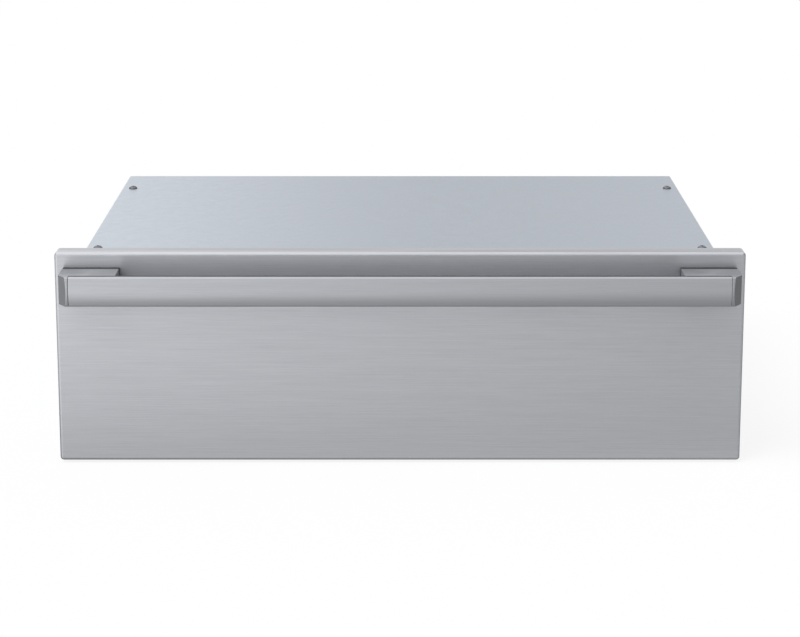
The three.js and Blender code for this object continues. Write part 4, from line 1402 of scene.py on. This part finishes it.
@dataclass
class Controls:
    """Fascia, buttons with printed marks, smoked window, display and the board behind."""

    z: float = 202.0
    half: float = 170.0
    rise: float = 11.5
    face: float = 29.6
    back: float = 33.7
    cap_front: float = 28.0
    cap_back: float = 36.0
    across: float = 8.5
    up: float = 4.5
    gap: float = 0.4
    ink: float = 0.06
    stroke: float = 0.22
    digits_y: Span = (36.4, 36.7)
    board_y: Span = (43.0, 44.6)

    def fascia(self) -> None:
        """Strip with openings for the buttons and the window."""
        strip = rounded_rectangle(about(0, self.half), about(self.z, self.rise), 3.0)
        form = Form().prism(strip, Axis.Y, (self.face, self.back))
        form.soften(form.edges_at(lambda p: p.y < self.face + NEAR), 0.5, 3)
        high = about(self.z, self.up + self.gap)
        holes = [
            rounded_rectangle(about(button.x, self.across + self.gap), high, 2.0)
            for button in BUTTONS.values()
        ]
        holes.append(rounded_rectangle((-30.3, 30.3), about(self.z, 6.8), 1.5))
        tool = Form()
        for hole in holes:
            tool.prism(hole, Axis.Y, (self.face - 1, self.back + 1))
        form.carved(tool).piece("fascia_strip", BLACK_PLASTIC, "cabinet", "control_fascia")

    def button(self, name: str, button: Button) -> None:
        """A push button: its cap's edges rounded, a wider collar and its stem behind.

        Args:
            name: The button's word.
            button: Its place and sign.
        """
        x, z, wider = button.x, self.z, 1.5
        cap = rounded_rectangle(about(x, self.across), about(z, self.up), 1.8)
        form = Form().prism(cap, Axis.Y, (self.cap_front, self.cap_back))
        form.soften(form.edges_at(lambda p: p.y < self.cap_front + NEAR), 0.7, 4)
        form.block(about(x, self.across + wider), (35.4, 37), about(z, self.up + wider), 0.2)
        form.block(about(x, 2), (36.5, 39.4), about(z, 2), 0.2)
        body = f"{name}_button"
        form.piece(f"{name}_cap", BUTTON_PLASTIC, body, body)
        self.mark(button).piece(f"{name}_mark", MARK_INK, body)

    def mark(self, button: Button) -> Form:
        """The sign printed on a button, proud of its cap by the ink.

        Args:
            button: The button.

        Returns:
            The sign.
        """
        x, z, ink = button.x, self.z, (self.cap_front - self.ink, self.cap_front + 0.1)
        form = Form()
        if button.arc:
            radius, start, end = button.arc
            outer, inner = (
                arc((x, z), edge, start, end, 24) for edge in reversed(about(radius, self.stroke))
            )
            form.prism([*outer, *reversed(inner)], Axis.Y, ink)
        for u, v in button.bars:
            form.block((x + u[0], x + u[1]), ink, (z + v[0], z + v[1]))
        if button.outline:
            form.prism([(x + u, z + v) for u, v in button.outline], Axis.Y, ink)
        return form

    def display(self) -> None:
        """Smoked window with the segments of a temperature behind it."""
        pane = rounded_rectangle((-30, 30), about(self.z, 6.5), 1.2)
        window = Form().prism(pane, Axis.Y, (30.0, 32.0)).softened(0.25)
        window.piece("display_window", LENS, "cabinet", "display_lens")
        strokes = [(x, STROKES[name]) for x, lit in DIGITS.items() for name in lit]
        strokes += [(0.0, stroke) for stroke in UNIT]
        digits = Form()
        for x, (u, v) in strokes:
            z = (self.z + v[0], self.z + v[1])
            digits.block((x + u[0], x + u[1]), self.digits_y, z)
        ring = [Vector((x, 36.5, z)) for x, z in disc((2.5, self.z + 3.2), 1.2, 20)]
        digits.wire(ring, 0.25, closed=True, sides=2)
        digits.piece("display_digits", MARK_INK, "cabinet")

    def board(self) -> None:
        """Board with its switches, display block and posts."""
        z, front = self.z, self.board_y[0]
        board = Form().block((-148, 148), self.board_y, about(z, 11), 0.15, 1)
        board.piece("control_board", LAMINATE, "cabinet", "ui_board")
        parts = Form().block((-28, 28), (36.6, front), about(z, 6), 0.4)
        plunger = [(0, 40.9), (1.5, 40.9), (1.6, 41.0), (1.6, 41.6), (0, 41.6)]
        for button in BUTTONS.values():
            parts.block(about(button.x, 3), (41.4, front), about(z, 3), 0.3)
            parts.turned(plunger, Axis.Y, 20, (button.x, z))
        for x in (-110, -20, 30, 96):
            parts.block(about(x, 3.5), (44.5, 46.3), (z + 1, z + 6), 0.2)
        parts.piece("control_board_parts", COMPONENT, "cabinet")
        posts = Form()
        for x, height in product((-144.0, 144.0), about(z, 12.0)):
            posts.block(about(x, 3), (36.3, self.board_y[1]), about(height, 2), 0.4)
        posts.piece("control_board_posts", BLACK_PLASTIC, "cabinet")

    def build(self) -> None:
        """Makes the controls."""
        self.fascia()
        for name, button in BUTTONS.items():
            self.button(name, button)
        self.display()
        self.board()


# ---- electrics


@dataclass
class Electrics:
    """Supply board, terminal block, cord gland and loom."""

    face: float = 583.0
    back: float = 592.7
    outside: float = 595.5
    gland_place: Span = (296.0, 44.0)
    loom_radius: float = 3.2
    loom_bend: float = 6.0

    def supply_board(self) -> None:
        """Board with its transformer, relays, capacitor, terminals and fuse."""
        y = self.face
        board = Form().block((-330, -190), (y, y + 1.6), (60, 146), 0.15, 1)
        for x, z in product((-325.0, -195.0), (65.0, 141.0)):
            board.block(about(x, 3), (y + 1.6, self.back), about(z, 3), 0.4)
        board.piece("supply_board", LAMINATE, "cabinet", "power_board")
        parts = Form().block((-317, -291), (y - 19.5, y - 2), (72, 94), 1.5, 3)
        for z in (68.0, 86.0):
            parts.block((-274, -246), (y - 15, y), (z, z + 12), 0.6)
        parts.block((-236, -198), (y - 9, y), (68, 78), 0.5)
        can = [(0, -15.6), (6.2, -15.6), (7, -15), (7, -2.4), (6.6, -2), (7, -1.5), (7, 0), (0, 0)]
        parts.turned(can, Axis.Y, 28, (-215, 96), base=y)
        parts.block((-300, -240), (y - 8, y), (126, 134), 0.4)
        parts.piece("supply_board_parts", COMPONENT, "cabinet")
        metal = Form().block((-322, -286), (y - 14, y - 6), (68, 98), 0.5)
        for x in range(-296, -245, 10):
            metal.block(about(x, 0.5), (y - 9.5, y - 1), (129.5, 130.5), 0.1, 1)
        for x in range(-232, -201, 10):
            metal.block(about(x, 2), (y - 9.6, y - 8.8), (71, 75), 0.2, 1)
        metal.piece("supply_board_metal", TINNED, "cabinet")

    def terminals(self) -> None:
        """Terminal block with a brass screw on each way."""
        eased("terminal_block", "terminal_body", STEATITE, 0.5)
        head = [(0, 576.2), (2.0, 576.3), (3.0, 576.9), (3.0, 578.3), (0, 578.3)]
        screws = Form().turned(head, Axis.Y, 20, *product((221.0, 237.0, 253.0), (38.0, 50.0)))
        screws.piece("terminal_screws", BRASS, "cabinet")

    def gland(self) -> None:
        """Bushing for the supply cord, with a round flange outside and a stepped nose."""
        wall, outside = self.back + 1, self.outside
        inner = [(5, 586), (12.1, 586), (12.5, 586.4), (12.5, wall), (10, wall), (10, outside)]
        flange = [(12.6, outside), (13, outside + 0.4), (13, 598.5), (12.4, 599.2), (10.4, 599.6)]
        nose = [(9.8, 600.4), (9.2, 601.7), (8.7, 602), (5.6, 602), (5, 601.4), (5, 586)]
        form = Form().turned([*inner, *flange, *nose], Axis.Y, 40, self.gland_place)
        form.piece("cord_bushing", BLACK_PLASTIC, "cabinet", "cord_gland")

    def loom(self) -> None:
        """Sleeved loom from the supply board round to the control board."""
        rise = [(-270, 570, 137), (-270, 570, 196), (-324, 570, 196)]
        run = [(-324, 54, 196), (-120, 54, 196), (-120, 47.4, 196)]
        form = Form().wire(bent_route([*rise, *run], self.loom_bend, 6), self.loom_radius)
        form.piece("loom_sleeve", SLEEVE, "cabinet", "wiring_harness")

    def build(self) -> None:
        """Makes the electrical pieces."""
        self.supply_board()
        self.terminals()
        self.gland()
        self.loom()


# ---- stage

# The studio as metal shows it, in pairs of a place and a level. The walls are graded along the
# direction's x, behind the drawer and in front of it, and between the two by how far a direction
# points up and forward. The ceiling's lights are graded along x too, and come in with height.
REAR_WALLS = (
    (-1.0, 0.4), (-0.65, 0.5), (-0.45, 1.3), (-0.3, 1.06), (-0.12, 1.0), (0.0, 0.46),
    (0.1, 0.62), (0.3, 0.84), (0.45, 1.1), (0.65, 0.35), (1.0, 0.2),
)
FRONT_WALLS = (
    (-1.0, 0.6), (-0.55, 1.25), (-0.3, 1.32), (-0.1, 1.02), (0.0, 0.7), (0.3, 0.52), (1.0, 0.3),
)
WALL_TURN = ((-0.3, 0.0), (0.4, 1.0))
CEILING = ((-1.0, 0.5), (-0.5, 1.45), (-0.2, 1.45), (0.0, 1.15), (0.5, 1.0), (1.0, 0.3))
CEILING_RISE = ((0.4, 0.0), (0.78, 1.0))
# Below the horizon metal shows a ground, graded across like the walls and multiplied by a level
# for the direction's z, so it darkens towards the drawer's foot.
REAR_GROUND = (
    (-1.0, 1.0), (-0.9, 0.35), (-0.74, 0.3), (-0.6, 1.3), (0.0, 1.0), (0.6, 1.0), (0.74, 0.13),
    (0.88, 0.13), (1.0, 0.9),
)
FRONT_GROUND = (
    (-1.0, 2.4), (-0.7, 2.2), (-0.45, 1.8), (-0.3, 1.75), (-0.13, 1.4), (0.0, 1.0),
    (0.13, 0.84), (0.3, 0.8), (0.6, 1.0), (0.75, 1.4), (1.0, 1.5),
)
GROUND_DEPTH = (
    (-1.0, 0.53), (-0.7, 0.6), (-0.515, 0.72), (-0.386, 0.85), (-0.28, 0.98), (-0.22, 1.0),
    (-0.15, 1.2), (-0.03, 1.22),
)
GROUND_EDGE = ((-0.06, 1.0), (0.0, 0.0))
# How much of the ground metal sees through the floor, by metres in front of the drawer, on the
# left and on the right. Which of the two holds turns along x: the right's holds again far to the
# left, so that views from the side have no dark patch. On the left it drops close to the drawer:
# painted shadow, standing in for the drawer's shadow on the ground as metal shows it.
TABLE_SPAN = (-1.6, 0.4)
LEFT_TABLE = (
    (-1.5, 0.66), (-1.05, 1.0), (-0.85, 1.0), (-0.7, 0.82), (-0.5, 0.52), (-0.35, 0.46),
    (-0.2, 0.37), (-0.07, 0.3), (0.0, 1.0),
)
RIGHT_TABLE = ((-1.5, 0.75), (-1.0, 0.72), (-0.5, 0.71), (-0.35, 0.64), (-0.2, 1.0), (0.12, 1.0))
TABLE_TURN = ((-0.95, 1.0), (-0.6, 0.0), (0.5, 1.0))
WHITE = (1, 1, 1, 1)


@dataclass
class Stage:
    """Floor, studio light and the camera at the photograph's angle."""

    camera_place: Point = (0.0, -2.96375, 0.7935)
    tilt_down: float = 13.14
    lens: float = 112.7
    sensor_width: float = 36.0
    far: float = 400.0
    reach: float = 60.0
    key_strength: float = 2.1
    key_angle: float = 35.0
    key_way: Point = (0.5, 0.55, -1.0)
    fill: float = 0.55
    floor_share: float = 0.86

    def ramp(
        self, tree: Tree, value: Socket, stops: Sequence[Span], span: Span = (-1.0, 1.0)
    ) -> Socket:
        """Grades a number along a few stops.

        Args:
            tree: The node tree.
            value: What the grade follows.
            stops: Pairs of a place in `span` and the result there.
            span: Limits of `value` between which the stops lie.

        Returns:
            The socket that gives the result.
        """
        low, high = span
        limits = {"Value": value, "From Min": low, "From Max": high}
        along = add_node(tree, "ShaderNodeMapRange", limits).outputs[0]
        graded = add_node(tree, "ShaderNodeValToRGB", {"Fac": along})
        elements = graded.color_ramp.elements
        while len(elements) < len(stops):
            elements.new(0.5)
        for element, (place, result) in zip(elements, stops):
            element.position = (place - low) / (high - low)
            element.color = (result, result, result, 1.0)
        return graded.outputs["Color"]

    def floor(self) -> None:
        """Pale matt floor that shows white to the camera and keeps a soft shadow.

        Metal sees the studio's ground through it, tinted by how near the drawer it is; the tint's
        drop close to the drawer is painted shadow.
        """
        plane = Form()
        bmesh.ops.create_grid(plane.bm, x_segments=2, y_segments=2, size=self.reach)
        made = linked("floor", plane.mesh("floor"))
        material = bpy.data.materials.new("matt_white_floor")
        material.use_nodes = True
        tree = material.node_tree
        tree.nodes.clear()
        path = add_node(tree, "ShaderNodeLightPath").outputs
        matt = add_node(tree, "ShaderNodeBsdfDiffuse", {"Color": colour("#f6f6f6")})
        glow = add_node(tree, "ShaderNodeEmission", {"Color": WHITE, "Strength": 1.0})
        inputs = {0: path["Is Camera Ray"], 1: self.floor_share}
        share = add_node(tree, "ShaderNodeMath", inputs, operation="MULTIPLY").outputs[0]
        inputs = {0: share, 1: matt.outputs[0], 2: glow.outputs[0]}
        seen = add_node(tree, "ShaderNodeMixShader", inputs).outputs[0]
        place = add_node(tree, "ShaderNodeTexCoord").outputs["Object"]
        x, y, _ = add_node(tree, "ShaderNodeSeparateXYZ", {0: place}).outputs
        # Painted shadow: the left table darkens close to the drawer.
        left, right = (self.ramp(tree, y, t, TABLE_SPAN) for t in (LEFT_TABLE, RIGHT_TABLE))
        inputs = {0: self.ramp(tree, x, TABLE_TURN), 6: left, 7: right}
        table = add_node(tree, "ShaderNodeMix", inputs, data_type="RGBA").outputs[2]
        through = add_node(tree, "ShaderNodeBsdfTransparent", {"Color": table}).outputs[0]
        inputs = {0: path["Is Glossy Ray"], 1: seen, 2: through}
        out = add_node(tree, "ShaderNodeMixShader", inputs).outputs[0]
        add_node(tree, "ShaderNodeOutputMaterial", {"Surface": out})
        made.data.materials.append(material)

    def world(self) -> None:
        """White to the camera; in metal a pale studio over a ground; an even fill otherwise."""
        world = bpy.data.worlds.new("studio")
        bpy.context.scene.world = world
        world.use_nodes = True
        tree = world.node_tree
        tree.nodes.clear()
        path = add_node(tree, "ShaderNodeLightPath").outputs
        way = add_node(tree, "ShaderNodeTexCoord").outputs["Generated"]
        x, y, z = add_node(tree, "ShaderNodeSeparateXYZ", {0: way}).outputs
        rise = add_node(tree, "ShaderNodeMath", {0: z, 1: y}, operation="SUBTRACT").outputs[0]
        turn = self.ramp(tree, rise, WALL_TURN)
        walls, across = (
            add_node(
                tree,
                "ShaderNodeMix",
                {0: turn, 6: self.ramp(tree, x, rear), 7: self.ramp(tree, x, front)},
                data_type="RGBA",
            ).outputs[2]
            for rear, front in ((REAR_WALLS, FRONT_WALLS), (REAR_GROUND, FRONT_GROUND))
        )
        inputs = {0: across, 1: self.ramp(tree, z, GROUND_DEPTH)}
        ground = add_node(tree, "ShaderNodeMath", inputs, operation="MULTIPLY").outputs[0]
        inputs = {0: self.ramp(tree, z, CEILING_RISE), 6: walls, 7: self.ramp(tree, x, CEILING)}
        room = add_node(tree, "ShaderNodeMix", inputs, data_type="RGBA").outputs[2]
        inputs = {0: self.ramp(tree, z, GROUND_EDGE), 6: room, 7: ground}
        both = add_node(tree, "ShaderNodeMix", inputs, data_type="RGBA").outputs[2]
        fill, studio, white = (
            add_node(tree, "ShaderNodeBackground", {"Color": tint, "Strength": level}).outputs[0]
            for tint, level in ((WHITE, self.fill), (both, 1.0), (WHITE, 1.0))
        )
        inputs = {0: path["Is Glossy Ray"], 1: fill, 2: studio}
        unseen = add_node(tree, "ShaderNodeMixShader", inputs).outputs[0]
        inputs = {0: path["Is Camera Ray"], 1: unseen, 2: white}
        out = add_node(tree, "ShaderNodeMixShader", inputs).outputs[0]
        add_node(tree, "ShaderNodeOutputWorld", {0: out})

    def lamps(self) -> None:
        """A wide soft key from above on the left; metal shows the studio, not the lamp."""
        light = bpy.data.lights.new("key", "SUN")
        light.energy = self.key_strength
        light.angle = math.radians(self.key_angle)
        made = linked("key", light)
        made.rotation_euler = Vector(self.key_way).to_track_quat("-Z", "Y").to_euler()
        made.visible_glossy = False

    def camera(self) -> None:
        """The camera, at the photograph's place and angle."""
        data = bpy.data.cameras.new("camera")
        data.lens = self.lens
        data.sensor_width = self.sensor_width
        data.clip_end = self.far
        made = linked("camera", data)
        made.location = self.camera_place
        made.rotation_euler = (math.radians(90 - self.tilt_down), 0, 0)
        bpy.context.scene.camera = made
        bpy.context.scene.view_settings.view_transform = "Standard"

    def build(self) -> None:
        """Makes the stage."""
        self.floor()
        self.world()
        self.lamps()
        self.camera()


def main() -> None:
    """Builds the stage and then the sub-assemblies in order."""
    logging.basicConfig(level=logging.INFO, format="%(message)s")
    for part in (
        Stage(),
        DrawerFront(),
        Handle(),
        CabinetShell(),
        WarmingChamber(),
        Slides(),
        DrawerBody(),
        Controls(),
        Electrics(),
    ):
        LOG.info("building %s", type(part).__name__)
        part.build()


if __name__ == "__main__":
    main()
